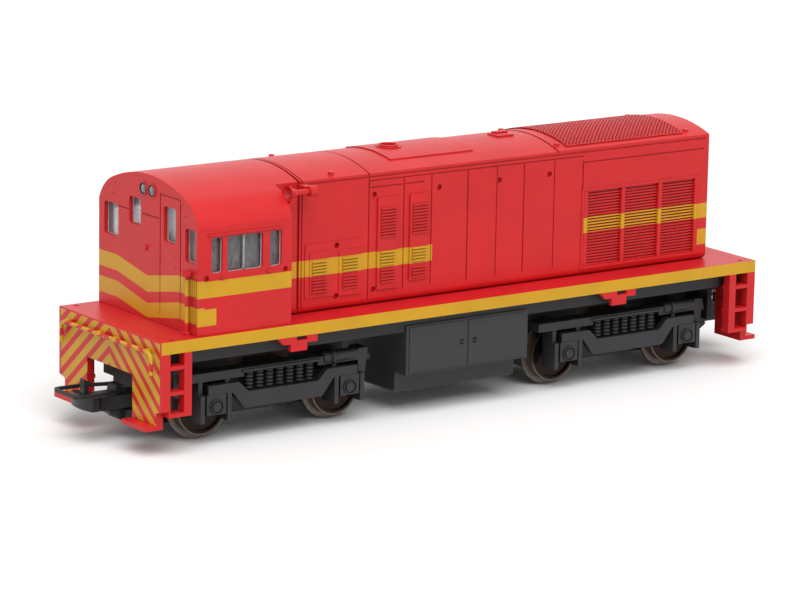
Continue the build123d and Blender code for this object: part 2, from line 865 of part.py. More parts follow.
with BuildPart() as radiator_grille:
    with BuildSketch(cross_plane(grille_rear)):
        add(grille_back)
    extrude(amount=grille_length)
    for rib in range(grille_ribs):
        with BuildSketch(cross_plane(grille_rear + rib * grille_pitch)):
            add(grille_rib)
        extrude(amount=grille_rib_width)
finish(radiator_grille, "radiator_grille")

shutter_length = radiator_length - 2 * shutter_fit
shutter_height = radiator_height - 2 * shutter_fit
shutter_pitch = (shutter_height - shutter_slat_height) / (shutter_slats - 1)
shutter_posts = 4
post_pitch = (shutter_length - shutter_post_width) / (shutter_posts - 1)
shutter_back = hood_half_width - shutter_recess

for side_name, side_sign in sides:
    with BuildPart() as shutters:
        with BuildSketch(side_plane(side_sign * shutter_back)):
            with Locations(radiator_middle):
                Rectangle(shutter_length, shutter_height)
        extrude(amount=-side_sign * shutter_backing)
        with BuildSketch(side_plane(side_sign * (shutter_back + shutter_backing))):
            with Locations(radiator_middle):
                with GridLocations(0, shutter_pitch, 1, shutter_slats):
                    Rectangle(shutter_length, shutter_slat_height)
        extrude(amount=-side_sign * shutter_slat_reach)
        with BuildSketch(side_plane(side_sign * shutter_back)):
            with Locations(radiator_middle):
                with GridLocations(post_pitch, 0, shutter_posts, 1):
                    Rectangle(shutter_post_width, shutter_height)
        extrude(amount=-side_sign * (shutter_recess + radiator_frame_rise))
    finish(shutters, f"radiator_shutters_{side_name}")

# ---------------------------------------------------------------- horn
# A trumpet behind the cab on the left, mouth forward, on a foot on the hood.
horn_y = cab_half_width - horn_inset
horn_z = roof_crown - horn_drop
horn_end_x = horn_mouth_x - horn_length
horn_bulb_x = horn_end_x + horn_bulb_length
horn_cone_x = horn_mouth_x - horn_cone_length
horn_waist_x = horn_mouth_x - horn_cone_waist
horn_foot_length = 1.6
horn_foot_height = 1.4
foot_reach = horn_y - hood_half_width
foot_place = (horn_end_x + horn_foot_length / 2, horn_y - foot_reach / 2)

with BuildPart() as horn:
    with BuildSketch(Plane(origin=(0, horn_y, horn_z), x_dir=(1, 0, 0), z_dir=(0, 0, 1))):
        with BuildLine():
            Polyline(
                (horn_end_x, 0),
                (horn_end_x, horn_bulb_radius),
                (horn_bulb_x, horn_bulb_radius),
                (horn_bulb_x, horn_throat_radius),
                (horn_cone_x, horn_throat_radius),
                (horn_waist_x, horn_waist_radius),
                (horn_mouth_x, horn_mouth_radius),
                (horn_mouth_x, horn_mouth_radius - horn_wall),
                (horn_waist_x, horn_waist_radius - horn_wall),
                (horn_cone_x, 0),
                close=True,
            )
        make_face()
    revolve(axis=Axis((0, horn_y, horn_z), (1, 0, 0)))
    with BuildSketch(Plane.XY.offset(horn_z - horn_foot_height / 2)):
        with Locations(foot_place):
            Rectangle(horn_foot_length, foot_reach)
    extrude(amount=horn_foot_height)
finish(horn, "horn")

# ---------------------------------------------------------------- chassis
# The cast plate under the deck, with a spine inside the hood and a turning
# boss for each truck.
spine_height = 2.2
motor_bottom = deck_top + spine_height
chassis_half_length = step_front - step_length - step_clearance
chassis_half_width = half_frame - sill_thickness - sill_clearance
tongue_half_length = step_front - tongue_clearance
tongue_half_width = half_frame - step_tread_depth - tongue_clearance

with BuildPart() as chassis:
    with BuildSketch(Plane.XY.offset(chassis_bottom)):
        Rectangle(2 * chassis_half_length, 2 * chassis_half_width)
        Rectangle(2 * tongue_half_length, 2 * tongue_half_width)
    extrude(amount=deck_bottom - chassis_bottom)
    with BuildSketch(Plane.XY.offset(deck_bottom)):
        with Locations(((slot_front + slot_rear) / 2, 0)):
            Rectangle(slot_front - slot_rear, 2 * slot_half_width)
    extrude(amount=motor_bottom - deck_bottom)
    with BuildSketch(Plane.XY.offset(chassis_bottom)):
        with GridLocations(2 * truck_centre, 0, 2, 1):
            Circle(boss_radius)
    extrude(amount=tower_top + swivel_gap - chassis_bottom)
    with BuildSketch(Plane.XY.offset(tower_top)):
        with GridLocations(2 * truck_centre, 0, 2, 1):
            Circle(king_pin_radius + king_pin_fit)
    extrude(amount=deck_bottom - tower_top, mode=Mode.SUBTRACT)
finish(chassis, "chassis")

with BuildPart() as motor:
    with BuildSketch(Plane.XY.offset(motor_bottom)):
        Rectangle(motor_length, motor_width)
    extrude(amount=motor_height)
finish(motor, "motor")

# ---------------------------------------------------------------- equipment box and tank
# Two doors on each side of a box that hugs the chassis, over a narrower tank.
equipment_length = equipment_front - equipment_rear
equipment_height = equipment_top - equipment_bottom
door_gap = 0.3
box_door_margin_x = 0.75
box_door_margin_z = 0.4
box_door_rise = 0.15
latch_radius = 0.6
latch_bar_height = 0.3
latch_depth = 0.3
latch_offset = 1.6
latch_height = 14.0
door_length = (equipment_length - door_gap) / 2 - box_door_margin_x
box_middle = ((equipment_front + equipment_rear) / 2, (equipment_bottom + equipment_top) / 2)

with BuildPart() as equipment_box:
    with BuildSketch(Plane.XY.offset(equipment_bottom)):
        with Locations((box_middle[0], 0)):
            Rectangle(equipment_length, 2 * chassis_half_width)
    extrude(amount=chassis_bottom - equipment_bottom)
    for side_name, side_sign in sides:
        with BuildSketch(side_plane(side_sign * chassis_half_width)):
            with Locations(box_middle):
                Rectangle(equipment_length, equipment_height)
        extrude(amount=-side_sign * equipment_skin)
        door_face = chassis_half_width + equipment_skin
        with BuildSketch(side_plane(side_sign * door_face)):
            with Locations(box_middle):
                with GridLocations(door_length + door_gap, 0, 2, 1):
                    Rectangle(door_length, equipment_height - 2 * box_door_margin_z)
        extrude(amount=-side_sign * box_door_rise)
        with BuildSketch(side_plane(side_sign * (door_face + box_door_rise))):
            with Locations((box_middle[0], latch_height)):
                with GridLocations(2 * latch_offset, 0, 2, 1):
                    Circle(latch_radius)
                    Rectangle(2 * latch_radius, latch_bar_height, mode=Mode.SUBTRACT)
        extrude(amount=side_sign * latch_depth, mode=Mode.SUBTRACT)
finish(equipment_box, "equipment_box")

with BuildPart() as fuel_tank:
    with BuildSketch(Plane.XY.offset(tank_bottom)):
        with Locations(((tank_front + tank_rear) / 2, 0)):
            Rectangle(tank_front - tank_rear, 2 * tank_half_width)
    extrude(amount=equipment_bottom - tank_bottom)
    chamfer(fuel_tank.faces().sort_by(Axis.Z)[0].edges(), tank_chamfer)
finish(fuel_tank, "fuel_tank")

# ---------------------------------------------------------------- jacking pads
# Stepped brackets that hang from the sills near the trucks, each with a slot
# under the sill.
pad_fronts = (46.6, -31.9)
pad_thickness = 0.9
pad_length = 9.2
pad_bevel = 1.3
pad_shoulder_drop = 1.4
pad_toe_drop = 2.9
pad_toe_start = 3.0
pad_toe_length = 3.8
pad_slot_length = 2.4
pad_slot_height = 0.8

with BuildPart() as jacking_pads:
    for side_name, side_sign in sides:
        pad_face = side_plane(side_sign * (half_frame - sill_thickness / 2 + pad_thickness / 2))
        for pad_front in pad_fronts:
            shoulder_z = sill_bottom - pad_shoulder_drop
            toe_front = pad_front - pad_toe_start
            toe_rear = toe_front - pad_toe_length
            with BuildSketch(pad_face):
                with BuildLine():
                    Polyline(
                        (pad_front, sill_bottom),
                        (pad_front - pad_bevel, shoulder_z),
                        (toe_front, shoulder_z),
                        (toe_front, sill_bottom - pad_toe_drop),
                        (toe_rear, sill_bottom - pad_toe_drop),
                        (toe_rear, shoulder_z),
                        (pad_front - pad_length, shoulder_z),
                        (pad_front - pad_length, sill_bottom),
                        close=True,
                    )
                make_face()
                with Locations((toe_rear + pad_slot_length / 2, sill_bottom - pad_slot_height / 2)):
                    Rectangle(pad_slot_length, pad_slot_height, mode=Mode.SUBTRACT)
            extrude(amount=side_sign * pad_thickness)
finish(jacking_pads, "jacking_pads")

# ---------------------------------------------------------------- trucks
# Each truck is a gear tower that turns under its boss, with a moulded side
# frame on each side. Both face the same way; only the coupler arm changes end.
king_pin_top = deck_bottom - king_pin_top_gap
flange_radius = tread_radius + flange_depth
axle_offsets = (half_wheelbase, -half_wheelbase)
arm_length = coupler_pin_x + arm_nose - truck_centre
shank_bottom = arm_top + shank_gap


def side_profile():
    """Equalizer bar seen from the side: two raised arms over a dropped middle."""
    with BuildSketch() as profile:
        with BuildLine():
            Polyline(
                (0, equalizer_valley),
                (equalizer_valley_end, equalizer_valley),
                (equalizer_rise_end, equalizer_top),
                (equalizer_half_length, equalizer_top),
                (equalizer_half_length, equalizer_arm_bottom),
                (equalizer_drop_end, equalizer_arm_bottom),
                (equalizer_drop_start, equalizer_bottom),
                (0, equalizer_bottom),
                close=True,
            )
        make_face()
        fillet(profile.vertices().filter_by(lambda v: 0 < v.X < equalizer_half_length), equalizer_round)
        mirror(about=Plane.YZ)
    return profile.sketch


def spring_profile():
    """Half of a coil spring's outline, beside its own upright axis."""
    free_height = beam_pocket_top - equalizer_valley
    coil_pitch = free_height / spring_coils
    with BuildSketch() as profile:
        with Locations((spring_core_radius / 2, (free_height - spring_root) / 2)):
            Rectangle(spring_core_radius, free_height + spring_root)
        with Locations((spring_core_radius, free_height / 2)):
            with GridLocations(0, coil_pitch, 1, spring_coils):
                Circle(spring_radius - spring_core_radius)
    return profile.sketch


equalizer_face = side_profile()
spring_outline = spring_profile()
spring_pitch = (spring_span - 2 * spring_radius) / (spring_count - 1)
box_length = 2 * (pedestal_offset - pedestal_gap) - pedestal_width
box_height = equalizer_arm_bottom - box_bottom
pedestal_outer = box_outer - pedestal_setback
side_depth = side_outer - side_inner

for truck_name, truck_sign in ends:
    truck_x = truck_sign * truck_centre
    with BuildPart() as truck_frame:
        with BuildSketch(Plane.XY.offset(tower_bottom)):
            with Locations((truck_x + truck_sign * (tower_front + tower_rear) / 2, 0)):
                Rectangle(tower_front - tower_rear, 2 * tower_half_width)
        extrude(amount=tower_top - tower_bottom)
        with BuildSketch(Plane.XY.offset(transom_bottom)):
            with Locations((truck_x, 0)):
                Rectangle(2 * transom_half_length, 2 * side_inner)
        extrude(amount=transom_top - transom_bottom)
        with BuildSketch(cross_plane(truck_x + truck_sign * tower_front)):
            with Locations((0, (end_sheet_top + end_sheet_step) / 2)):
                Rectangle(2 * end_sheet_half_width, end_sheet_top - end_sheet_step)
            with Locations((0, (end_sheet_step + end_sheet_bottom) / 2)):
                Rectangle(2 * end_sheet_waist, end_sheet_step - end_sheet_bottom)
        extrude(amount=truck_sign * end_sheet_thickness)
        arm_x = truck_x + truck_sign * arm_length / 2
        with BuildSketch(Plane.XY.offset(arm_bottom)):
            with Locations((arm_x, 0)):
                Rectangle(arm_length, 2 * arm_half_width)
        extrude(amount=arm_top - arm_bottom)
        with BuildSketch(side_plane(0)):
            with BuildLine():
                Polyline(
                    (truck_sign * coupler_pin_x, arm_bottom),
                    (truck_sign * (coupler_pin_x + arm_nose), arm_bottom),
                    (truck_sign * (coupler_pin_x + arm_lip_reach), arm_top - arm_lip_edge),
                    (truck_sign * (coupler_pin_x + arm_lip_reach), arm_top),
                    (truck_sign * coupler_pin_x, arm_top),
                    close=True,
                )
            make_face()
        extrude(amount=arm_lip_half_width, both=True)
        pin_x = truck_sign * coupler_pin_x
        with BuildSketch(Plane.XY.offset(arm_top)):
            with Locations((pin_x, 0)):
                Circle(coupler_pin_radius)
        extrude(amount=shank_gap + shank_height)
        with BuildSketch(Plane.XY.offset(tower_top)):
            with Locations((truck_x, 0)):
                Circle(king_pin_radius)
        extrude(amount=king_pin_top - tower_top)
        with BuildSketch(side_plane(0)):
            with Locations((truck_x, axle_height)):
                with GridLocations(2 * half_wheelbase, 0, 2, 1):
                    Circle(axle_radius + axle_fit)
        extrude(amount=tower_half_width, both=True, mode=Mode.SUBTRACT)
    finish(truck_frame, f"truck_frame_{truck_name}")

    for side_name, side_sign in sides:
        inner_face = side_plane(side_sign * side_inner)
        with BuildPart() as side_frame:
            with BuildSketch(inner_face):
                with Locations((truck_x + (beam_front + beam_rear) / 2, (beam_bottom + beam_top) / 2)):
                    Rectangle(beam_front - beam_rear, beam_top - beam_bottom)
                with Locations((truck_x, (beam_bottom + beam_pocket_top) / 2)):
                    Rectangle(2 * beam_pocket_half_length, beam_pocket_top - beam_bottom, mode=Mode.SUBTRACT)
                for axle_offset in axle_offsets:
                    with Locations((truck_x + axle_offset, (beam_bottom + pedestal_bottom) / 2)):
                        with GridLocations(2 * pedestal_offset, 0, 2, 1):
                            Rectangle(pedestal_width, beam_bottom - pedestal_bottom)
                with BuildLine():
                    Polyline(
                        (truck_x + beam_rear, rear_post_top),
                        (truck_x + rear_post_front, rear_post_top),
                        (truck_x + rear_post_front, rear_post_bottom),
                        (truck_x + rear_post_front - rear_post_toe, rear_post_bottom),
                        close=True,
                    )
                make_face()
            extrude(amount=-side_sign * side_depth)
            with BuildSketch(inner_face):
                with Locations((truck_x, box_bottom + box_height / 2)):
                    with GridLocations(2 * half_wheelbase, 0, 2, 1):
                        Rectangle(box_length, box_height)
            extrude(amount=-side_sign * (box_outer - side_inner))
            with BuildSketch(inner_face):
                for axle_offset in axle_offsets:
                    with Locations((truck_x + axle_offset, (equalizer_arm_bottom + pedestal_bottom) / 2)):
                        with GridLocations(2 * pedestal_offset, 0, 2, 1):
                            Rectangle(pedestal_width, equalizer_arm_bottom - pedestal_bottom)
            extrude(amount=-side_sign * (pedestal_outer - side_inner))
            with BuildSketch(side_plane(side_sign * box_outer)):
                with Locations((truck_x, box_cover_height)):
                    with GridLocations(2 * half_wheelbase, 0, 2, 1):
                        Circle(box_cover_radius)
            extrude(amount=-side_sign * box_cover_rise)
            with BuildSketch(side_plane(side_sign * (box_outer + box_cover_rise))):
                with Locations((truck_x, box_cover_height)):
                    with GridLocations(2 * half_wheelbase, 0, 2, 1):
                        Circle(box_groove_outer)
                        Circle(box_groove_inner, mode=Mode.SUBTRACT)
            extrude(amount=side_sign * box_groove_depth, mode=Mode.SUBTRACT)
            with BuildSketch(inner_face):
                with Locations((truck_x + beam_rear - beam_stub_length / 2, beam_bottom)):
                    Rectangle(beam_stub_length, beam_stub_height)
            extrude(amount=-side_sign * beam_stub_depth)
            with BuildSketch(side_plane(side_sign * side_outer)):
                with Locations((truck_x, beam_pocket_top + spring_cap_height / 2)):
                    Rectangle(2 * spring_cap_half_length, spring_cap_height)
            extrude(amount=-side_sign * spring_cap_reach)
            with BuildSketch(side_plane(side_sign * equalizer_inner)):
                with Locations((truck_x, 0)):
                    add(equalizer_face)
            extrude(amount=-side_sign * (equalizer_outer - equalizer_inner))
            spring_y = side_sign * (side_outer - spring_radius)
            for spring in range(spring_count):
                spring_x = truck_x + (spring - (spring_count - 1) / 2) * spring_pitch
                spring_foot = (spring_x, spring_y, equalizer_valley)
                with BuildSketch(Plane(spring_foot, x_dir=(1, 0, 0), z_dir=(0, -1, 0))):
                    add(spring_outline)
                revolve(axis=Axis(spring_foot, (0, 0, 1)))
            for disc_rear, disc_length, disc_radius in (
                (cylinder_rear, cylinder_front - cylinder_rear, cylinder_radius),
                (cylinder_ring_place, cylinder_ring_length, cylinder_ring_radius),
            ):
                with BuildSketch(cross_plane(truck_x + disc_rear)):
                    with Locations((side_sign * cylinder_y, cylinder_height)):
                        Circle(disc_radius)
                extrude(amount=disc_length)
        finish(side_frame, f"truck_side_{truck_name}_{side_name}")

# ---------------------------------------------------------------- wheelsets
# Two flanged wheels pressed on each axle. Wheelsets are numbered from the front.
wheel_back = back_to_back / 2
wheel_face = wheel_back + wheel_width
rim_radius = tread_radius - rim_width
axle_places = [
    truck_sign * truck_centre + axle_offset for truck_name, truck_sign in ends for axle_offset in axle_offsets
]

for number, axle_x in enumerate(axle_places, start=1):
    wheel_plane = Plane(origin=(axle_x, 0, axle_height), x_dir=(0, 1, 0), z_dir=(1, 0, 0))
    with BuildPart() as wheels:
        with BuildSketch(wheel_plane):
            with BuildLine():
                Polyline(
                    (wheel_back, axle_radius),
                    (wheel_back, flange_radius),
                    (wheel_back + flange_width, flange_radius),
                    (wheel_back + flange_width, tread_radius),
                    (wheel_face, tread_radius),
                    (wheel_face, rim_radius),
                    (wheel_face - dish_depth, rim_radius),
                    (wheel_face - dish_depth, hub_radius),
                    (wheel_face, hub_radius),
                    (wheel_face, axle_radius),
                    close=True,
                )
            make_face()
        revolve(axis=Axis((axle_x, 0, axle_height), (0, 1, 0)))
        mirror(about=Plane.XZ)
    finish(wheels, f"wheels_{number}")

    with BuildPart() as axle:
        with BuildSketch(side_plane(0)):
            with Locations((axle_x, axle_height)):
                Circle(axle_radius)
        extrude(amount=wheel_face, both=True)
    finish(axle, f"axle_{number}")

# ---------------------------------------------------------------- couplers
# A shank that swings on the truck's arm, a bowed head with an upright hook,
# and a flat loop that lifts on a cross pin. The loop lies just above the head.
loop_reach = head_front + loop_lead
loop_flare_x = loop_reach - loop_straight


def outward_plane(end_sign, height):
    """Level plane whose sketch X axis runs outward to one end of the locomotive."""
    return Plane(origin=(0, 0, height), x_dir=(end_sign, 0, 0), z_dir=(0, 0, 1))


def loop_outline(inset):
    """Plan of the loop, drawn in by inset, with its front corners rounded."""
    rear = loop_rear_half_width - inset
    wide = loop_half_width - inset
    reach = loop_reach - inset
    with BuildSketch() as outline:
        with BuildLine():
            Polyline(
                (loop_pin_x, -rear),
                (loop_flare_x, -wide),
                (reach, -wide),
                (reach, wide),
                (loop_flare_x, wide),
                (loop_pin_x, rear),
                close=True,
            )
        make_face()
        fillet(outline.vertices().group_by(Axis.X)[-1], loop_corner - inset)
    return outline.sketch


loop_outside = loop_outline(0)
loop_inside = loop_outline(loop_strip)

for end_name, end_sign in ends:
    with BuildPart() as coupler:
        head_rear = head_front - head_length
        head_side = head_front - head_bow
        with BuildSketch(outward_plane(end_sign, shank_bottom)):
            with Locations((coupler_pin_x, 0)):
                Circle(shank_box_half_width)
            with Locations((coupler_pin_x + shank_box_reach / 2, 0)):
                Rectangle(shank_box_reach, 2 * shank_box_half_width)
            with Locations(((coupler_pin_x + head_rear) / 2, 0)):
                Rectangle(head_rear - coupler_pin_x, 2 * shank_half_width)
            with Locations((coupler_pin_x, 0)):
                Circle(coupler_pin_radius + coupler_fit, mode=Mode.SUBTRACT)
        extrude(amount=shank_height)
        with BuildSketch(outward_plane(end_sign, head_bottom)):
            with BuildLine():
                Polyline(
                    (head_side, -head_half_width),
                    (head_rear, -head_half_width),
                    (head_rear, head_half_width),
                    (head_side, head_half_width),
                )
                ThreePointArc((head_side, head_half_width), (head_front, 0), (head_side, -head_half_width))
            make_face()
        extrude(amount=head_top - head_bottom)
        hook_rear = head_side - hook_thickness
        with BuildSketch(side_plane(0)):
            with BuildLine():
                Polyline(
                    (end_sign * head_side, head_bottom),
                    (end_sign * head_side, hook_top),
                    (end_sign * (hook_rear - hook_tip), hook_top - hook_tip_height),
                    (end_sign * hook_rear, hook_top - hook_tip_height),
                    (end_sign * hook_rear, head_bottom),
                    close=True,
                )
            make_face()
        extrude(amount=hook_half_width, both=True)
        boss_top = loop_height + loop_thickness
        with BuildSketch(side_plane(0)):
            with Locations((end_sign * loop_pin_x, (shank_bottom + boss_top) / 2)):
                Rectangle(loop_boss_length, boss_top - shank_bottom)
        extrude(amount=shank_half_width, both=True)
        with BuildSketch(side_plane(0)):
            with Locations((end_sign * loop_pin_x, loop_height)):
                Circle(loop_thickness / 2 + loop_pin_fit)
        extrude(amount=shank_half_width, both=True, mode=Mode.SUBTRACT)
    finish(coupler, f"coupler_{end_name}")

    with BuildPart() as loop:
        with BuildSketch(outward_plane(end_sign, loop_height - loop_thickness / 2)):
            add(loop_outside)
            add(loop_inside, mode=Mode.SUBTRACT)
        extrude(amount=loop_thickness)
        with BuildSketch(side_plane(0)):
            with Locations((end_sign * loop_pin_x, loop_height)):
                Circle(loop_thickness / 2)
        extrude(amount=loop_rear_half_width, both=True)
    finish(loop, f"coupler_loop_{end_name}")
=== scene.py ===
"""Small-scale model of an end-cab diesel locomotive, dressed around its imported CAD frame.

Metres throughout: +X runs forward to the cab end, +Y is the locomotive's left, +Z is up and
Z = 0 is the lowest point of the wheel flanges. Sizes in the classes are millimetres.
"""

import logging
import math
from dataclasses import dataclass, field
from enum import Enum
from typing import Any, Protocol

import bmesh
import bpy
from mathutils import Matrix, Vector


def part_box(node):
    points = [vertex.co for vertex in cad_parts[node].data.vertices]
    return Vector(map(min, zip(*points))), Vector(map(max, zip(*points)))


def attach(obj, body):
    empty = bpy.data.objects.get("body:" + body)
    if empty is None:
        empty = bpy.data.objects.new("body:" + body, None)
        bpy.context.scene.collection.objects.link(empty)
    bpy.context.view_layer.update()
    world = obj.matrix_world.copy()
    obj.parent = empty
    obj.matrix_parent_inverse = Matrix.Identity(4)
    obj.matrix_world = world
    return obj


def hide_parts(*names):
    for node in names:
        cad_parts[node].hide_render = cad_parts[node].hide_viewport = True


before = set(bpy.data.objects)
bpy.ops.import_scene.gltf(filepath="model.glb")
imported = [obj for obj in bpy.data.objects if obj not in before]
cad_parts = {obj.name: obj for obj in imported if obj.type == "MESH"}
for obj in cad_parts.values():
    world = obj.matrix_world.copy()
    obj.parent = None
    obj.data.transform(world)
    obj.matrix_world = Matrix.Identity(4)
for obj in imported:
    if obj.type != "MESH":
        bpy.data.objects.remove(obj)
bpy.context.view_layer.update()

MM = 0.001
LOG = logging.getLogger("locomotive")
ENDS = ("front", "rear")
SIDES = ("left", "right")

# ---------------------------------------------------------------- paints
BODY_RED = "#D42427"
DECK_RED = "#CB2129"
SHADOW_RED = "#4C0B10"
TRIM_YELLOW = "#D6A21D"
UNDERFRAME_GREY = "#303033"
GEAR_BRONZE = "#54443A"
COUPLER_BLACK = "#202023"


def linear(colour: str, alpha: float = 1.0) -> tuple[float, float, float, float]:
    """Turns an sRGB hex colour to linear light.

    Args:
        colour: Six hex digits after a hash.
        alpha: The fourth channel.

    Returns:
        Red, green, blue and alpha, linear.
    """
    channels = [int(colour[i:i + 2], 16) / 255 for i in (1, 3, 5)]
    light = [c / 12.92 if c <= 0.04045 else ((c + 0.055) / 1.055) ** 2.4 for c in channels]
    return light[0], light[1], light[2], alpha


def add_node(tree: bpy.types.NodeTree, kind: str, inputs: dict[Any, Any] | None = None,
             **settings: Any) -> bpy.types.Node:
    """Adds one node with its settings, values and links.

    Args:
        tree: The node tree it goes into.
        kind: The node's type, without its ShaderNode prefix.
        inputs: Socket name or number to a value, or to the output that feeds it.
        settings: Attributes of the node itself.

    Returns:
        The new node.
    """
    node = tree.nodes.new("ShaderNode" + kind)
    for name, value in settings.items():
        setattr(node, name, value)
    for socket, value in (inputs or {}).items():
        if isinstance(value, bpy.types.NodeSocket):
            tree.links.new(value, node.inputs[socket])
        else:
            node.inputs[socket].default_value = value
    return node


# ---------------------------------------------------------------- markings
@dataclass(frozen=True)
class Place:
    """The coordinates that a marking is painted by, in millimetres."""

    x: bpy.types.NodeSocket
    y: bpy.types.NodeSocket
    y_abs: bpy.types.NodeSocket
    z: bpy.types.NodeSocket


def read_place(tree: bpy.types.NodeTree) -> Place:
    """Reads the row frame's millimetres from Object coordinates.

    Args:
        tree: The material's node tree.

    Returns:
        The three coordinates and the distance from the centreline.
    """
    coords = add_node(tree, "TexCoord").outputs["Object"]
    scaled = add_node(tree, "VectorMath", {0: coords, "Scale": 1 / MM}, operation="SCALE").outputs[0]
    axes = add_node(tree, "SeparateXYZ", {0: scaled}).outputs
    y_abs = add_node(tree, "Math", {0: axes["Y"]}, operation="ABSOLUTE").outputs[0]
    return Place(axes["X"], axes["Y"], y_abs, axes["Z"])


class Marking(Protocol):
    """Anything that can say where it is painted."""

    def mask(self, tree: bpy.types.NodeTree, place: Place) -> bpy.types.NodeSocket:
        """Gives 1 on the marking and 0 off it."""


def within(tree: bpy.types.NodeTree, value: bpy.types.NodeSocket,
           low: float, high: float) -> bpy.types.NodeSocket:
    """Gives 1 where a coordinate lies between two values.

    Args:
        tree: The material's node tree.
        value: The coordinate.
        low: Lower end.
        high: Upper end.

    Returns:
        The mask.
    """
    inputs = {0: value, 1: (low + high) / 2, 2: (high - low) / 2}
    return add_node(tree, "Math", inputs, operation="COMPARE").outputs[0]


def both(tree: bpy.types.NodeTree, first: bpy.types.NodeSocket,
         second: bpy.types.NodeSocket) -> bpy.types.NodeSocket:
    """Gives 1 where two masks are both 1."""
    return add_node(tree, "Math", {0: first, 1: second}, operation="MULTIPLY").outputs[0]


@dataclass(frozen=True)
class Band:
    """A straight band of paint on both sides, as a box in the row frame."""

    x: tuple[float, float]
    y_abs: tuple[float, float]
    z: tuple[float, float]

    def mask(self, tree: bpy.types.NodeTree, place: Place) -> bpy.types.NodeSocket:
        """Gives 1 inside the box."""
        along = within(tree, place.x, *self.x)
        across = within(tree, place.y_abs, *self.y_abs)
        up = within(tree, place.z, *self.z)
        return both(tree, both(tree, along, across), up)


@dataclass(frozen=True)
class VeeBand:
    """A band across an end wall that dips to a point at the centreline."""

    x: tuple[float, float]
    side_z: tuple[float, float]
    centre_z: tuple[float, float]
    flat_from: float = 11.0

    def mask(self, tree: bpy.types.NodeTree, place: Place) -> bpy.types.NodeSocket:
        """Gives 1 between the band's two sloping edges."""
        edges = []
        for centre, side in zip(self.centre_z, self.side_z):
            inputs = {0: place.y_abs, 1: 0.0, 2: self.flat_from, 3: centre, 4: side}
            edges.append(add_node(tree, "MapRange", inputs).outputs[0])
        above = add_node(tree, "Math", {0: place.z, 1: edges[0]}, operation="GREATER_THAN").outputs[0]
        below = add_node(tree, "Math", {0: place.z, 1: edges[1]}, operation="LESS_THAN").outputs[0]
        return both(tree, both(tree, above, below), within(tree, place.x, *self.x))


@dataclass(frozen=True)
class Chevrons:
    """Slanting warning stripes that meet in upward points on the centreline."""

    pitch: float = 3.46
    share: float = 0.56
    slope: float = 0.84
    first_apex: float = 23.05
    half_width: float = 18.1
    bottom: float = 6.3
    top: float = 22.4
    outer_x: float = 72.75

    def mask(self, tree: bpy.types.NodeTree, place: Place) -> bpy.types.NodeSocket:
        """Gives 1 on the yellow stripes."""
        inputs = {0: place.y_abs, 1: self.slope, 2: place.z}
        height = add_node(tree, "Math", inputs, operation="MULTIPLY_ADD").outputs[0]
        inputs = {0: height, 1: 1 / self.pitch, 2: 0.5 - self.first_apex / self.pitch}
        turns = add_node(tree, "Math", inputs, operation="MULTIPLY_ADD").outputs[0]
        part = add_node(tree, "Math", {0: turns}, operation="FRACT").outputs[0]
        stripe = within(tree, part, 0.5 - self.share / 2, 0.5 + self.share / 2)
        across = within(tree, place.y_abs, -1.0, self.half_width)
        along = add_node(tree, "Math", {0: place.x}, operation="ABSOLUTE").outputs[0]
        outside = add_node(tree, "Math", {0: along, 1: self.outer_x}, operation="GREATER_THAN").outputs[0]
        striped = both(tree, both(tree, stripe, across), within(tree, place.z, self.bottom, self.top))
        return both(tree, striped, outside)


# ---------------------------------------------------------------- finishes
def new_material(name: str) -> tuple[bpy.types.Material, bpy.types.NodeTree]:
    """Makes an empty node material.

    Args:
        name: What the real material is.

    Returns:
        The material and its node tree.
    """
    material = bpy.data.materials.new(name)
    material.use_nodes = True
    material.node_tree.nodes.clear()
    return material, material.node_tree


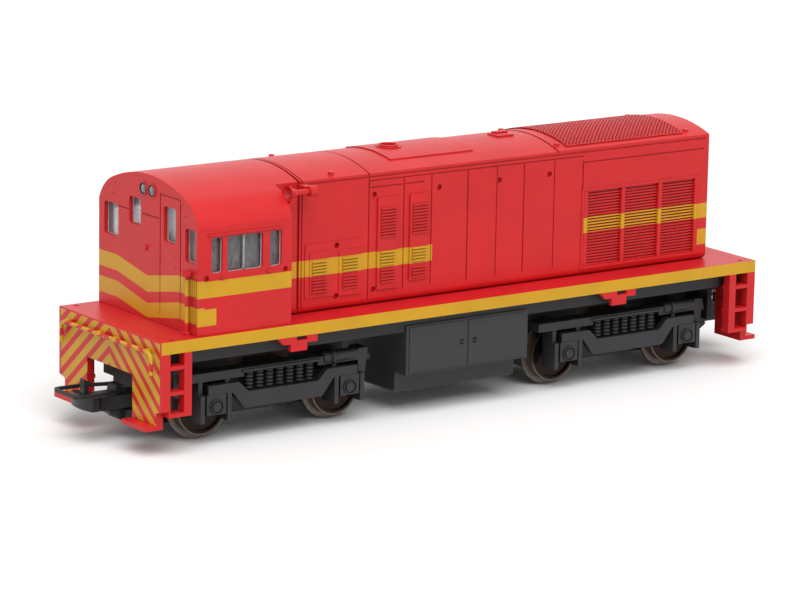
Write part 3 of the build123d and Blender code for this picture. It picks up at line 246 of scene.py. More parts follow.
@dataclass(frozen=True)
class Moulded:
    """Injection-moulded ABS, bare or sprayed with satin paint.

    The mould's spark-eroded grain and the paint's fine spray give a soft, even sheen. The true
    grain of about 0.03 mm is too fine to show, so it is drawn at a tenth of a millimetre.
    """

    name: str
    colour: str
    roughness: float = 0.36
    specular: float = 0.3
    tint: float = 0.05
    grain_mm: float = 0.11
    grain_depth_mm: float = 0.006
    cloud_mm: float = 7.0
    edge_mm: float = 0.09
    # Painted shade in seams and recesses: how far it reaches and how dark it gets
    shade_reach_mm: float = 0.7
    crease_painted_shade: float = 0.74
    markings: tuple[Marking, ...] = ()
    marking_colour: str = TRIM_YELLOW

    def material(self) -> bpy.types.Material:
        """Builds the material."""
        material, tree = new_material(self.name)
        coords = add_node(tree, "TexCoord").outputs["Object"]
        colour = add_node(tree, "RGB").outputs[0]
        colour.default_value = linear(self.colour)
        if self.markings:
            place = read_place(tree)
            painted = None
            for marking in self.markings:
                mask = marking.mask(tree, place)
                painted = mask if painted is None else add_node(
                    tree, "Math", {0: painted, 1: mask}, operation="MAXIMUM").outputs[0]
            inputs = {0: painted, 6: colour, 7: linear(self.marking_colour)}
            colour = add_node(tree, "Mix", inputs, data_type="RGBA").outputs[2]
        # Slow cloudiness of the spray, a few millimetres across
        inputs = {"Vector": coords, "Scale": 1 / (self.cloud_mm * MM), "Detail": 3.0}
        cloud = add_node(tree, "TexNoise", inputs).outputs[0]
        inputs = {0: cloud, 1: 0.3, 2: 0.7, 3: 1 - self.tint, 4: 1 + self.tint}
        shade = add_node(tree, "MapRange", inputs).outputs[0]
        # Painted shade: the colour darkens in seams, corners and recesses, where less light reaches, as
        # found by ambient occlusion
        inputs = {"Distance": self.shade_reach_mm * MM}
        openness = add_node(tree, "AmbientOcclusion", inputs, samples=6).outputs["AO"]
        inputs = {0: openness, 1: 0.35, 2: 0.9, 3: self.crease_painted_shade, 4: 1.0}
        painted_shade = add_node(tree, "MapRange", inputs).outputs[0]
        shade = add_node(tree, "Math", {0: shade, 1: painted_shade}, operation="MULTIPLY").outputs[0]
        tinted = add_node(tree, "VectorMath", {0: colour, "Scale": shade}, operation="SCALE").outputs[0]
        inputs = {"Vector": coords, "Scale": 1 / (self.grain_mm * MM), "Detail": 2.0}
        grain = add_node(tree, "TexNoise", inputs).outputs[0]
        inputs = {0: grain, 1: 0.25, 2: 0.75, 3: self.roughness - 0.05, 4: self.roughness + 0.07}
        rough = add_node(tree, "MapRange", inputs).outputs[0]
        rounded = add_node(tree, "Bevel", {"Radius": self.edge_mm * MM}, samples=4).outputs[0]
        inputs = {"Height": grain, "Distance": self.grain_depth_mm * MM, "Normal": rounded}
        normal = add_node(tree, "Bump", inputs).outputs[0]
        inputs = {"Base Color": tinted, "Roughness": rough, "Normal": normal}
        shader = add_node(tree, "BsdfPrincipled", inputs)
        shader.inputs["Specular IOR Level"].default_value = self.specular
        add_node(tree, "OutputMaterial", {0: shader.outputs[0]})
        return material


@dataclass(frozen=True)
class TurnedMetal:
    """Lathe-turned metal: fine rings about the axle, blackened on the face and bright on the rim."""

    name: str
    centre: tuple[float, float]
    face: str = "#2E2622"
    rim: str = "#7A7068"
    bright_from: float = 5.3
    ring_mm: float = 0.16
    roughness: float = 0.34

    def material(self) -> bpy.types.Material:
        """Builds the material."""
        material, tree = new_material(self.name)
        place = read_place(tree)
        centred = []
        for socket, value in ((place.x, self.centre[0]), (place.z, self.centre[1])):
            centred.append(add_node(tree, "Math", {0: socket, 1: value}, operation="SUBTRACT").outputs[0])
        flat = add_node(tree, "CombineXYZ", {0: centred[0], 1: centred[1]}).outputs[0]
        radius = add_node(tree, "VectorMath", {0: flat}, operation="LENGTH").outputs["Value"]
        inputs = {0: radius, 1: self.bright_from, 2: self.bright_from + 0.25}
        bright = add_node(tree, "MapRange", inputs).outputs[0]
        inputs = {0: bright, 6: linear(self.face), 7: linear(self.rim)}
        colour = add_node(tree, "Mix", inputs, data_type="RGBA").outputs[2]
        phase = add_node(tree, "Math", {0: radius, 1: math.tau / self.ring_mm},
                         operation="MULTIPLY").outputs[0]
        rings = add_node(tree, "Math", {0: phase}, operation="SINE").outputs[0]
        normal = add_node(tree, "Bump", {"Height": rings, "Distance": 0.003 * MM}).outputs[0]
        inputs = {0: rings, 1: -1.0, 2: 1.0, 3: self.roughness - 0.05, 4: self.roughness + 0.1}
        rough = add_node(tree, "MapRange", inputs).outputs[0]
        inputs = {"Base Color": colour, "Roughness": rough, "Normal": normal, "Metallic": 1.0}
        shader = add_node(tree, "BsdfPrincipled", inputs)
        add_node(tree, "OutputMaterial", {0: shader.outputs[0]})
        return material


@dataclass(frozen=True)
class CastMetal:
    """Sand-blasted zinc casting, painted or bare, with a pebbly skin."""

    name: str
    colour: str
    metallic: float = 0.0
    roughness: float = 0.55
    pebble_mm: float = 0.25

    def material(self) -> bpy.types.Material:
        """Builds the material."""
        material, tree = new_material(self.name)
        coords = add_node(tree, "TexCoord").outputs["Object"]
        inputs = {"Vector": coords, "Scale": 1 / (self.pebble_mm * MM), "Detail": 4.0}
        pebble = add_node(tree, "TexNoise", inputs).outputs[0]
        inputs = {0: pebble, 1: 0.3, 2: 0.7, 3: 0.8, 4: 1.2}
        shade = add_node(tree, "MapRange", inputs).outputs[0]
        inputs = {0: linear(self.colour)[:3], "Scale": shade}
        tinted = add_node(tree, "VectorMath", inputs, operation="SCALE").outputs[0]
        normal = add_node(tree, "Bump", {"Height": pebble, "Distance": 0.02 * MM}).outputs[0]
        inputs = {"Base Color": tinted, "Roughness": self.roughness, "Normal": normal,
                  "Metallic": self.metallic}
        shader = add_node(tree, "BsdfPrincipled", inputs)
        add_node(tree, "OutputMaterial", {0: shader.outputs[0]})
        return material


@dataclass(frozen=True)
class ClearPlastic:
    """Clear moulded polystyrene: see-through, with the upright flow lines of its mould; on the cab
    windows a grey mixed in along these streaks is painted shade.
    """

    name: str
    tint: str = "#E3E6E8"
    streak: str = "#8C8B90"
    roughness: float = 0.05
    flow_mm: float = 0.7
    flow_depth_mm: float = 0.03
    transmission: float = 0.86
    clear_areas: tuple[Marking, ...] = ()

    def material(self) -> bpy.types.Material:
        """Builds the material."""
        material, tree = new_material(self.name)
        coords = add_node(tree, "TexCoord").outputs["Object"]
        mapped = add_node(tree, "Mapping", {"Vector": coords, "Scale": (1.0, 1.0, 0.35)}).outputs[0]
        inputs = {"Vector": mapped, "Scale": 1 / (self.flow_mm * MM), "Detail": 2.0, "Distortion": 0.6}
        flow = add_node(tree, "TexNoise", inputs).outputs[0]
        inputs = {"Height": flow, "Distance": self.flow_depth_mm * MM}
        normal = add_node(tree, "Bump", inputs).outputs[0]
        inputs = {0: flow, 1: 0.3, 2: 0.7, 3: self.roughness, 4: self.roughness + 0.14}
        rough = add_node(tree, "MapRange", inputs).outputs[0]
        inputs = {0: flow, 1: 0.22, 2: 0.78}
        streaks = add_node(tree, "MapRange", inputs).outputs[0]
        place = read_place(tree)
        for area in self.clear_areas:
            clear = area.mask(tree, place)
            streaks = add_node(tree, "Math", {0: streaks, 1: clear}, operation="MAXIMUM").outputs[0]
        # Low in the flow pattern the colour turns to the streak colour; on the cab windows that grey is
        # painted shade of the dim cab inside
        inputs = {0: streaks, 6: linear(self.streak), 7: linear(self.tint)}
        colour = add_node(tree, "Mix", inputs, data_type="RGBA").outputs[2]
        inputs = {"Base Color": colour, "Roughness": rough, "Normal": normal,
                  "Transmission Weight": self.transmission, "IOR": 1.5}
        shader = add_node(tree, "BsdfPrincipled", inputs)
        add_node(tree, "OutputMaterial", {0: shader.outputs[0]})
        return material


@dataclass
class Palette:
    """Every finish on the locomotive, made once and handed to the pieces."""

    made: dict[str, bpy.types.Material] = field(default_factory=dict)

    def get(self, finish: Any) -> bpy.types.Material:
        """Gives a finish's material, building it the first time."""
        if finish.name not in self.made:
            self.made[finish.name] = finish.material()
        return self.made[finish.name]


def dress(nodes: list[str], material: bpy.types.Material) -> None:
    """Gives CAD nodes a material.

    Args:
        nodes: Names of the nodes.
        material: What they are made of.
    """
    for name in nodes:
        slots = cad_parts[name].data.materials
        slots.clear()
        slots.append(material)


# ---------------------------------------------------------------- mesh pieces
def new_piece(name: str, mesh: bmesh.types.BMesh, materials: list[bpy.types.Material],
              body: str, smooth_angle: float = 35.0) -> bpy.types.Object:
    """Turns a finished bmesh into a piece that rides on a body.

    Args:
        name: The piece's name.
        mesh: Its shape, in metres and in place. It is freed here.
        materials: Its materials, in the order of the faces' material numbers.
        body: The CAD body it moves with.
        smooth_angle: Edges sharper than this, in degrees, stay crisp.

    Returns:
        The new object.
    """
    bmesh.ops.remove_doubles(mesh, verts=mesh.verts, dist=1e-7)
    bmesh.ops.recalc_face_normals(mesh, faces=mesh.faces)
    for face in mesh.faces:
        face.smooth = True
    for edge in mesh.edges:
        edge.smooth = edge.calc_face_angle(0.0) < math.radians(smooth_angle)
    data = bpy.data.meshes.new(name)
    mesh.to_mesh(data)
    mesh.free()
    for material in materials:
        data.materials.append(material)
    piece = bpy.data.objects.new(name, data)
    bpy.context.scene.collection.objects.link(piece)
    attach(piece, body)
    LOG.info("%s rides on %s with %d faces", name, body, len(data.polygons))
    return piece


def turned(mesh: bmesh.types.BMesh, profile: list[tuple[float, float]], centre: Vector,
           axis: Vector, steps: int = 24) -> list[bmesh.types.BMVert]:
    """Spins a profile round an axis.

    Args:
        mesh: The bmesh it is added to.
        profile: Radius and height pairs in millimetres, from the axis outwards and back to it.
        centre: Where the axis starts, in metres.
        axis: The axis, pointing the way the heights rise.
        steps: How many facets go round.

    Returns:
        The vertices it added.
    """
    before = set(mesh.verts)
    across = axis.orthogonal().normalized()
    points = [centre + (across * radius + axis * height) * MM for radius, height in profile]
    verts = [mesh.verts.new(point) for point in points]
    edges = [mesh.edges.new(pair) for pair in zip(verts, verts[1:])]
    bmesh.ops.spin(mesh, geom=verts + edges, cent=centre, axis=axis, angle=math.tau,
                   steps=steps, use_merge=True)
    added = [v for v in mesh.verts if v not in before]
    bmesh.ops.remove_doubles(mesh, verts=added, dist=1e-7)
    return [v for v in mesh.verts if v not in before]


class Wall(Enum):
    """Which way a wall of the cab looks: its outward direction and its upright sheet's width axis."""

    FRONT = ((1.0, 0.0, 0.0), (0.0, 1.0, 0.0))
    REAR = ((-1.0, 0.0, 0.0), (0.0, -1.0, 0.0))
    LEFT = ((0.0, 1.0, 0.0), (-1.0, 0.0, 0.0))
    RIGHT = ((0.0, -1.0, 0.0), (1.0, 0.0, 0.0))

    def matrix(self, centre: Vector) -> Matrix:
        """Gives the matrix that stands a flat sheet up on this wall at a centre in metres."""
        outward, across = (Vector(v) for v in self.value)
        turn = Matrix((across, (0.0, 0.0, 1.0), outward)).transposed().to_4x4()
        return Matrix.Translation(centre) @ turn


@dataclass(frozen=True)
class Pane:
    """One cab window: its wall, and its middle and size in millimetres."""

    wall: Wall
    across: float
    height: float
    width: float
    tall: float


@dataclass
class CabWindows:
    """The raised bright edges that the clear moulding shows inside each window opening."""

    palette: Palette
    edge: float = 0.13
    rise: float = 0.16
    corner: float = 0.5
    panes: tuple[Pane, ...] = (
        Pane(Wall.FRONT, -13.3, 40.1, 5.2, 6.5),
        Pane(Wall.FRONT, -4.6, 43.2, 4.2, 5.3),
        Pane(Wall.FRONT, 7.9, 42.5, 4.3, 6.9),
        Pane(Wall.FRONT, 15.2, 39.7, 3.6, 6.5),
        Pane(Wall.REAR, 14.7, 39.5, 2.6, 6.5),
        Pane(Wall.REAR, -14.7, 39.5, 2.6, 6.5),
        Pane(Wall.LEFT, 60.1, 38.0, 2.5, 6.9),
        Pane(Wall.LEFT, 55.75, 38.0, 3.95, 6.9),
        Pane(Wall.LEFT, 51.75, 38.0, 3.95, 6.9),
        Pane(Wall.LEFT, 46.8, 38.0, 2.7, 6.9),
        Pane(Wall.RIGHT, 60.1, 38.0, 2.5, 6.9),
        Pane(Wall.RIGHT, 55.75, 38.0, 3.95, 6.9),
        Pane(Wall.RIGHT, 51.75, 38.0, 3.95, 6.9),
        Pane(Wall.RIGHT, 46.8, 38.0, 2.7, 6.9),
    )

    def centre(self, pane: Pane) -> Vector:
        """Gives the middle of a pane on the clear moulding's own outside face."""
        low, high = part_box("cab_glazing")
        spot = {
            Wall.FRONT: (high.x, pane.across * MM),
            Wall.REAR: (low.x, pane.across * MM),
            Wall.LEFT: (pane.across * MM, high.y),
            Wall.RIGHT: (pane.across * MM, low.y),
        }[pane.wall]
        return Vector((*spot, pane.height * MM))

    def build(self) -> None:
        """Makes the window edges as one piece."""
        mesh = bmesh.new()
        for pane in self.panes:
            made = bmesh.ops.create_grid(mesh, x_segments=1, y_segments=1, size=0.5)
            sheet = made["verts"]
            bmesh.ops.scale(mesh, verts=sheet, vec=(pane.width * MM, pane.tall * MM, 1.0))
            rounded = bmesh.ops.bevel(mesh, geom=sheet, offset=self.corner * MM, segments=3,
                                      profile=0.5, affect="VERTICES", material=-1)
            face = next(f for f in mesh.faces if set(rounded["verts"]) & set(f.verts))
            bmesh.ops.inset_region(mesh, faces=[face], use_boundary=True, use_even_offset=True,
                                   thickness=self.edge * MM)
            ring = [f for f in {f for v in rounded["verts"] for f in v.link_faces} if f != face]
            corners = set(face.verts) | {v for f in ring for v in f.verts}
            bmesh.ops.delete(mesh, geom=[face], context="FACES_ONLY")
            raised = bmesh.ops.extrude_face_region(mesh, geom=ring)["geom"]
            lifted = [v for v in raised if isinstance(v, bmesh.types.BMVert)]
            bmesh.ops.translate(mesh, verts=lifted, vec=(0, 0, self.rise * MM))
            every = list(corners | set(lifted))
            bmesh.ops.transform(mesh, verts=every, matrix=pane.wall.matrix(self.centre(pane)))
        clear = self.palette.get(ClearPlastic(
            "clear_polystyrene_edges", "#DADADD", "#C2C2C6", 0.2, transmission=0.3))
        new_piece("cab_window_edges", mesh, [clear], "body", 50.0)


@dataclass
class Cab:
    """The arched cab: red paint with bands, clear windows and small moulded fittings."""

    palette: Palette
    front: float = 64.4
    half_width: float = 17.87
    rivet_radius: float = 0.3
    rivets: tuple[tuple[float, float], ...] = (
        (-12.0, 47.4), (-12.7, 45.3), (12.4, 47.2), (13.2, 45.1),
        (4.9, 45.0), (4.7, 36.3), (9.6, 36.4), (9.8, 34.8),
    )
    lug_size: tuple[float, float, float] = (1.1, 0.5, 0.45)
    lug_proud: float = 0.08
    lugs: tuple[tuple[float, float], ...] = ((58.75, 33.55), (48.3, 33.75))

    def paint(self) -> Moulded:
        """Gives the cab's red with its bands."""
        side = (self.half_width - 0.4, self.half_width + 1)
        face = (self.front - 1.5, self.front + 2)
        return Moulded("satin_red_abs_cab", BODY_RED, markings=(
            Band((43.0, self.front + 0.2), side, (30.0, 33.15)),
            Band((60.2, self.front + 0.2), side, (24.6, 27.8)),
            VeeBand(face, (30.2, 33.35), (28.1, 31.3)),
            VeeBand(face, (25.0, 28.15), (23.1, 25.9)),
        ))

    def build(self) -> None:
        """Dresses the cab's nodes and adds its rivets and lugs."""
        red = self.palette.get(self.paint())
        dress(["cab"], red)
        # The glazing's grey streaks are painted shade, the dim cab inside seen through the side and rear
        # panes; the front panes stay clear
        front_panes = Band((self.front - 2.2, self.front + 1), (-1.0, 20.0), (30.0, 50.0))
        dress(["cab_glazing"], self.palette.get(ClearPlastic(
            "clear_polystyrene_windows", "#F0F2F4", "#8A8287", clear_areas=(front_panes,))))
        CabWindows(self.palette).build()
        mesh = bmesh.new()
        r = self.rivet_radius
        for y, z in self.rivets:
            profile = [(0.0, 0.16), (0.5 * r, 0.13), (0.85 * r, 0.05), (r, -0.05), (0.0, -0.05)]
            turned(mesh, profile, Vector((self.front, y, z)) * MM, Vector((1, 0, 0)), 12)
        for side in (1, -1):
            for x, z in self.lugs:
                made = bmesh.ops.create_cube(mesh, size=1.0)["verts"]
                bmesh.ops.scale(mesh, verts=made, vec=Vector(self.lug_size) * MM)
                place = Vector((x, side * (self.half_width + self.lug_proud), z)) * MM
                bmesh.ops.translate(mesh, verts=made, vec=place)
                edges = list({e for v in made for e in v.link_edges})
                bmesh.ops.bevel(mesh, geom=edges, offset=0.1 * MM, segments=2, profile=0.5,
                                affect="EDGES", material=-1)
        new_piece("cab_rivets_and_lugs", mesh, [red], "body")


@dataclass
class Headlamps:
    """A pair of lamps at an end: silvered bowl, domed glass and a dark rim to each."""

    palette: Palette
    end: str
    face: float
    sign: int
    spacing: float = 3.1
    height: float = 48.1
    radius: float = 1.13

    def build(self) -> None:
        """Replaces the CAD lenses of this end by dressed lamps."""
        outward = Vector((self.sign, 0, 0))
        bowls, domes, rims = bmesh.new(), bmesh.new(), bmesh.new()
        r = self.radius
        for y in (-self.spacing / 2, self.spacing / 2):
            seat = Vector((self.face, y, self.height)) * MM
            bowl = [(0.0, -0.55), (0.25, -0.55), (0.3, -0.35), (0.62 * r, -0.33), (0.86 * r, -0.18),
                    (0.93 * r, 0.0), (0.98 * r, 0.0), (0.98 * r, -0.5), (0.5, -0.68), (0.0, -0.68)]
            turned(bowls, bowl, seat, outward, 32)
            dome = [(0.0, 0.24), (0.35 * r, 0.22), (0.65 * r, 0.15), (0.84 * r, 0.06),
                    (0.86 * r, -0.06), (0.6 * r, 0.02), (0.3 * r, 0.08), (0.0, 0.1)]
            turned(domes, dome, seat, outward, 32)
            rim = [(0.8 * r, 0.02), (0.84 * r, 0.19), (0.93 * r, 0.25), (1.02 * r, 0.2),
                   (1.0 * r, -0.1), (0.9 * r, -0.1), (0.8 * r, 0.02)]
            turned(rims, rim, seat, outward, 32)
        silver = self.palette.get(CastMetal("vacuum_silvered_reflector", "#C9CBCE", 1.0, 0.22, 0.8))
        glass = self.palette.get(ClearPlastic(
            "clear_lamp_lens", "#E6EAEE", "#B9BEC6", 0.03, 0.35, 0.02, 0.96))
        black = self.palette.get(Moulded("matt_black_lamp_rim", COUPLER_BLACK, 0.5))
        piece = new_piece(f"headlamp_bowls_{self.end}", bowls, [silver], "body")
        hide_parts(f"headlamp_lenses_{self.end}")
        new_piece(f"headlamp_glass_{self.end}", domes, [glass], "body")
        new_piece(f"headlamp_rims_{self.end}", rims, [black], "body")


@dataclass
class RadiatorScreen:
    """The perforated screen on the radiator's roof: staggered diamond holes over a dark recess."""

    palette: Palette
    front: float = -28.5
    rear: float = -58.9
    half_width: float = 10.6
    cell: float = 0.66
    bar: float = 0.13
    thickness: float = 0.16
    lift: float = 0.38
    margin: float = 0.45
    margin_rise: float = 0.03
    margin_drop: float = 0.1
    backing_gap: float = 0.02
    backing_inset: float = 0.2
    strips: int = 24
    roof_radius: float = 33.5
    roof_centre: float = 17.6

    def build(self) -> None:
        """Makes the screen, bends it to the roof and hides the CAD's ribbed grille."""
        mesh = bmesh.new()
        length, width = self.front - self.rear, 2 * self.half_width
        cells = math.ceil((length + width) / math.sqrt(2) / self.cell)
        bmesh.ops.create_grid(mesh, x_segments=cells, y_segments=cells, size=cells * self.cell / 2)
        bmesh.ops.rotate(mesh, verts=mesh.verts, cent=(0, 0, 0),
                         matrix=Matrix.Rotation(math.pi / 4, 3, "Z"))
        for axis, reach in (((1, 0, 0), length / 2), ((-1, 0, 0), length / 2),
                            ((0, 1, 0), width / 2), ((0, -1, 0), width / 2)):
            geometry = mesh.verts[:] + mesh.edges[:] + mesh.faces[:]
            bmesh.ops.bisect_plane(mesh, geom=geometry, plane_co=Vector(axis) * reach,
                                   plane_no=axis, clear_outer=True)
        whole = [f for f in mesh.faces if f.calc_area() > 0.9 * self.cell ** 2]
        bmesh.ops.inset_individual(mesh, faces=whole, thickness=self.bar)
        bmesh.ops.delete(mesh, geom=whole, context="FACES")
        bmesh.ops.solidify(mesh, geom=mesh.faces[:], thickness=self.thickness)
        edge_verts = self.add_border(mesh, length, width)
        self.add_backing(mesh, length, width)
        middle = (self.front + self.rear) / 2
        for vert in mesh.verts:
            arc = math.sqrt(self.roof_radius ** 2 - vert.co.y ** 2) + self.roof_centre
            vert.co.z += arc + self.lift
            vert.co.x += middle
        LOG.info("screen border has %d corners", edge_verts)
        bmesh.ops.scale(mesh, verts=mesh.verts, vec=(MM, MM, MM))
        red = self.palette.get(Moulded("satin_red_abs_screen", BODY_RED, grain_depth_mm=0.003))
        dark = self.palette.get(Moulded("shaded_red_abs_recess", SHADOW_RED, 0.6, 0.1))
        piece = new_piece("radiator_screen", mesh, [red, dark], "body")
        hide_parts("radiator_grille")

    def add_border(self, mesh: bmesh.types.BMesh, length: float, width: float) -> int:
        """Adds the plain margin round the holes.

        Args:
            mesh: The screen's bmesh, still flat and in millimetres.
            length: The screen's length.
            width: The screen's width.

        Returns:
            How many vertices the margin has.
        """
        made = bmesh.ops.create_grid(mesh, x_segments=1, y_segments=self.strips, size=0.5)["verts"]
        bmesh.ops.scale(mesh, verts=made, vec=(length, width, 1.0))
        faces = list({f for v in made for f in v.link_faces})
        bmesh.ops.inset_region(mesh, faces=faces, thickness=self.margin, use_even_offset=True)
        bmesh.ops.delete(mesh, geom=faces, context="FACES")
        ring = list({f for v in made if v.is_valid for f in v.link_faces})
        raised = bmesh.ops.extrude_face_region(mesh, geom=ring)["geom"]
        lifted = [v for v in raised if isinstance(v, bmesh.types.BMVert)]
        bmesh.ops.translate(mesh, verts=lifted, vec=(0, 0, self.margin_rise))
        low = list({v for f in ring if f.is_valid for v in f.verts})
        bmesh.ops.translate(mesh, verts=low, vec=(0, 0, -self.thickness - self.margin_drop))
        return len(lifted) + len(low)

    def add_backing(self, mesh: bmesh.types.BMesh, length: float, width: float) -> None:
        """Adds the dark floor under the holes; its dark red is painted shadow in the recess.

        Args:
            mesh: The screen's bmesh, still flat and in millimetres.
            length: The screen's length.
            width: The screen's width.
        """
        made = bmesh.ops.create_grid(mesh, x_segments=1, y_segments=self.strips, size=0.5)["verts"]
        size = (length - 2 * self.backing_inset, width - 2 * self.backing_inset, 1.0)
        bmesh.ops.scale(mesh, verts=made, vec=size)
        bmesh.ops.translate(mesh, verts=made, vec=(0, 0, -self.thickness - self.backing_gap))
        for face in {f for v in made for f in v.link_faces}:
            face.material_index = 1


@dataclass
class Hood:
    """The long hood with its hatch, shutters and horn."""

    palette: Palette
    half_width: float = 11.8
    slat_setback: float = 0.35
    radiator_belt: tuple[tuple[float, float], tuple[float, float]] = ((-64.9, -32.3), (31.5, 34.6))

    def build(self) -> None:
        """Dresses the hood's nodes and adds the screen."""
        side = (self.half_width - 0.45, self.half_width + 1)
        along, up = self.radiator_belt
        bands = (
            Band((5.5, 43.3), side, (30.0, 33.25)),
            Band(along, side, up),
            Band((-64.99, -62.4), side, (25.9, 29.2)),
            VeeBand((-66.5, -64.8), (31.5, 34.6), (29.4, 32.5), 9.0),
            VeeBand((-66.5, -64.8), (25.9, 29.2), (23.9, 27.2), 9.0),
        )
        red = self.palette.get(Moulded("satin_red_abs_hood", BODY_RED, markings=bands))
        dress(["hood"], red)
        slat_fronts = (self.half_width - self.slat_setback, self.half_width + 1)
        belt = Band(along, slat_fronts, up)
        slats = self.palette.get(Moulded("satin_red_abs_slats", BODY_RED, edge_mm=0.03,
                                         markings=(belt,)))
        dress(["radiator_shutters_left", "radiator_shutters_right"], slats)
        plain = self.palette.get(Moulded("satin_red_abs_plain", BODY_RED))
        dress(["roof_hatch", "horn", "radiator_grille"], plain)
        RadiatorScreen(self.palette).build()


@dataclass
class Platform:
    """Deck, pilots, steps, lift bars and jacking pads."""

    palette: Palette
    half_width: float = 18.7

    def build(self) -> None:
        """Dresses the platform's nodes."""
        edge = (self.half_width - 0.03, self.half_width + 0.5)
        sill = Band((-80.0, 80.0), edge, (20.3, 22.75))
        deck = self.palette.get(Moulded("satin_red_abs_deck", DECK_RED, markings=(sill,)))
        dress(["walkway"], deck)
        striped = Moulded("satin_red_abs_pilot", BODY_RED, markings=(sill, Chevrons()))
        dress(["pilot_front", "pilot_rear"], self.palette.get(striped))
        bars = Moulded("satin_red_abs_lift_bar", BODY_RED, markings=(Chevrons(top=30.0),))
        dress(["lift_bar_front", "lift_bar_rear"], self.palette.get(bars))
        plain = self.palette.get(Moulded("satin_red_abs_plain", BODY_RED))
        steps = [f"steps_{end}_{side}" for end in ENDS for side in SIDES]
        dress(steps + ["jacking_pads"], plain)


@dataclass
class RunningGear:
    """Trucks, wheelsets, couplers, chassis, box and tank."""

    palette: Palette
    truck_centre: float = 42.6
    half_wheelbase: float = 15.5
    axle_height: float = 6.7

    def build(self) -> None:
        """Dresses the nodes under the deck."""
        # The wide, strong crease settings paint deep shade into the underframe's recesses
        grey = self.palette.get(Moulded("matt_grey_abs_trucks", UNDERFRAME_GREY, 0.46, 0.35, 0.1,
                                        shade_reach_mm=4.0, crease_painted_shade=0.3))
        dress([f"truck_side_{end}_{side}" for end in ENDS for side in SIDES], grey)
        tower = (self.truck_centre - 7.0, self.truck_centre + 7.0)
        bare = tuple(Band(span, (-1.0, 9.0), (12.5, 18.0)) for span in (tower, (-tower[1], -tower[0])))
        frames = Moulded("matt_grey_abs_gear_towers", UNDERFRAME_GREY, 0.46, 0.35, 0.1, shade_reach_mm=4.0,
                         crease_painted_shade=0.3, markings=bare, marking_colour=GEAR_BRONZE)
        dress([f"truck_frame_{end}" for end in ENDS], self.palette.get(frames))
        box = self.palette.get(Moulded("matt_grey_abs_box", UNDERFRAME_GREY, 0.42, 0.4, 0.08))
        dress(["equipment_box", "fuel_tank"], box)
        black = self.palette.get(Moulded("matt_black_abs_couplers", COUPLER_BLACK, 0.4))
        dress([f"coupler_{end}" for end in ENDS] + [f"coupler_loop_{end}" for end in ENDS], black)
        dress(["chassis"], self.palette.get(CastMetal("blackened_zinc_casting", "#0E0E10")))
        dress(["motor"], self.palette.get(CastMetal("plated_motor_can", "#A7A9AC", 1.0, 0.35, 0.9)))
        number = 0
        for centre in (self.truck_centre, -self.truck_centre):
            for offset in (self.half_wheelbase, -self.half_wheelbase):
                number += 1
                place = (centre + offset, self.axle_height)
                wheel = self.palette.get(TurnedMetal(f"turned_blackened_brass_wheel_{number}", place))
                dress([f"wheels_{number}"], wheel)
                axle = TurnedMetal(f"turned_steel_axle_{number}", place, "#9A9A9C", "#9A9A9C")
                dress([f"axle_{number}"], self.palette.get(axle))


# ---------------------------------------------------------------- studio
def seen_directly(tree: bpy.types.NodeTree) -> bpy.types.NodeSocket:
    """Gives 1 to rays from the camera, gloss and glass, and 0 to the light that bounces.

    Args:
        tree: The floor's or the world's node tree.

    Returns:
        The mask.
    """
    path = add_node(tree, "LightPath").outputs
    seen = path["Is Camera Ray"]
    for ray in ("Is Glossy Ray", "Is Transmission Ray"):
        seen = add_node(tree, "Math", {0: seen, 1: path[ray]}, operation="MAXIMUM").outputs[0]
    return seen


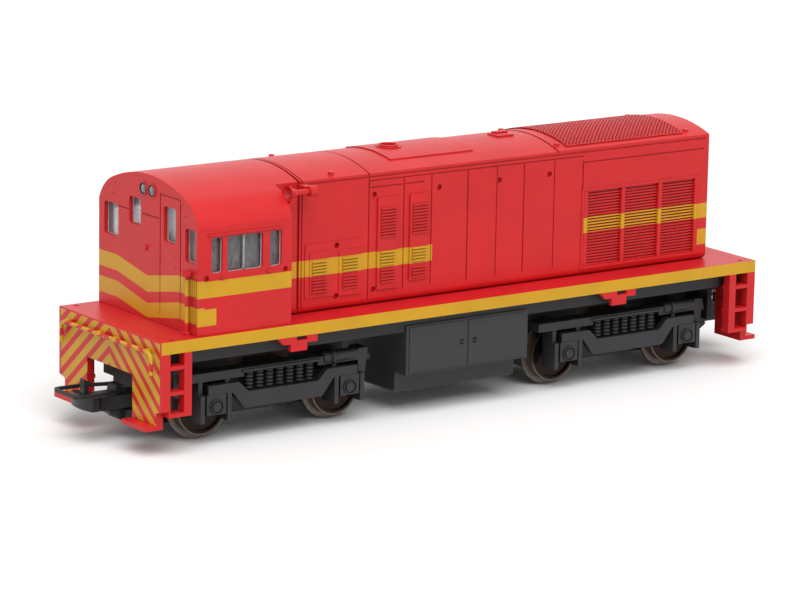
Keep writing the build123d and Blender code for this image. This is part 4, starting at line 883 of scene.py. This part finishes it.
@dataclass
class Studio:
    """White table, soft light and the camera."""

    azimuth: float = 144.28
    elevation: float = 12.61
    roll: float = 1.05
    place: tuple[float, float, float] = (0.46480, 0.63995, 0.19591)
    lens: float = 180.8
    floor_size: float = 30.0
    floor_lift: float = 1.07
    floor_bounce: float = 0.68
    sky: float = 0.55
    sun: float = 2.08
    sun_from: tuple[float, float, float] = (0.25, 0.58, 1.0)
    sun_spread: float = 50.0

    def build(self) -> None:
        """Makes the floor, world, sun and camera."""
        self.make_floor()
        self.make_world()
        self.make_sun()
        self.make_camera()

    def make_floor(self) -> None:
        """Makes the pale table that the locomotive stands on."""
        mesh = bmesh.new()
        bmesh.ops.create_grid(mesh, x_segments=1, y_segments=1, size=self.floor_size / 2)
        data = bpy.data.meshes.new("table")
        mesh.to_mesh(data)
        mesh.free()
        floor = bpy.data.objects.new("table", data)
        bpy.context.scene.collection.objects.link(floor)
        material, tree = new_material("white_laminate_table")
        coords = add_node(tree, "TexCoord").outputs["Object"]
        fibre = add_node(tree, "TexNoise", {"Vector": coords, "Scale": 1 / (2 * MM)}).outputs[0]
        inputs = {0: fibre, 1: 0.3, 2: 0.7, 3: 0.945, 4: 0.955}
        paper = add_node(tree, "MapRange", inputs).outputs[0]
        seen = seen_directly(tree)
        lift = add_node(tree, "MapRange", {0: seen, 3: self.floor_bounce, 4: self.floor_lift}).outputs[0]
        white = add_node(tree, "Math", {0: paper, 1: lift}, operation="MULTIPLY").outputs[0]
        inputs = {"Base Color": white, "Roughness": 0.9, "Specular IOR Level": 0.0}
        shader = add_node(tree, "BsdfPrincipled", inputs)
        add_node(tree, "OutputMaterial", {0: shader.outputs[0]})
        data.materials.append(material)

    def make_world(self) -> None:
        """Lights the object evenly, and shows white to the camera, glass and gloss."""
        world = bpy.data.worlds.new("studio")
        bpy.context.scene.world = world
        world.use_nodes = True
        tree = world.node_tree
        tree.nodes.clear()
        seen = seen_directly(tree)
        strength = add_node(tree, "MapRange", {0: seen, 3: self.sky, 4: 1.0}).outputs[0]
        background = add_node(tree, "Background", {"Color": (1, 1, 1, 1), "Strength": strength})
        add_node(tree, "OutputWorld", {0: background.outputs[0]})

    def make_sun(self) -> None:
        """Adds the large soft key light from above the camera's left."""
        light = bpy.data.lights.new("key_softbox", "SUN")
        light.energy = self.sun
        light.angle = math.radians(self.sun_spread)
        lamp = bpy.data.objects.new("key_softbox", light)
        bpy.context.scene.collection.objects.link(lamp)
        lamp.rotation_euler = Vector(self.sun_from).to_track_quat("Z", "Y").to_euler()

    def make_camera(self) -> None:
        """Places the camera."""
        az, el, turn = (math.radians(a) for a in (self.azimuth, self.elevation, self.roll))
        back = Vector((math.sin(az) * math.cos(el), -math.cos(az) * math.cos(el), math.sin(el)))
        right = Vector((0, 0, 1)).cross(back).normalized()
        up = back.cross(right)
        right, up = (math.cos(turn) * right + math.sin(turn) * up,
                     math.cos(turn) * up - math.sin(turn) * right)
        data = bpy.data.cameras.new("camera")
        data.sensor_fit = "HORIZONTAL"
        data.sensor_width = 36.0
        data.lens = self.lens
        data.clip_start = 0.01
        data.clip_end = 100.0
        camera = bpy.data.objects.new("camera", data)
        bpy.context.scene.collection.objects.link(camera)
        turned_to = Matrix((right, up, back)).transposed().to_4x4()
        camera.matrix_world = Matrix.Translation(self.place) @ turned_to
        bpy.context.scene.camera = camera


def main() -> None:
    """Builds the locomotive's looks and the studio."""
    logging.basicConfig(level=logging.INFO, format="%(name)s: %(message)s")
    palette = Palette()
    Studio().build()
    Cab(palette).build()
    Hood(palette).build()
    Headlamps(palette, "front", 64.4, 1).build()
    Headlamps(palette, "rear", -65.0, -1).build()
    Platform(palette).build()
    RunningGear(palette).build()
    bpy.context.scene.view_settings.view_transform = "Standard"


if __name__ == "__main__":
    main()
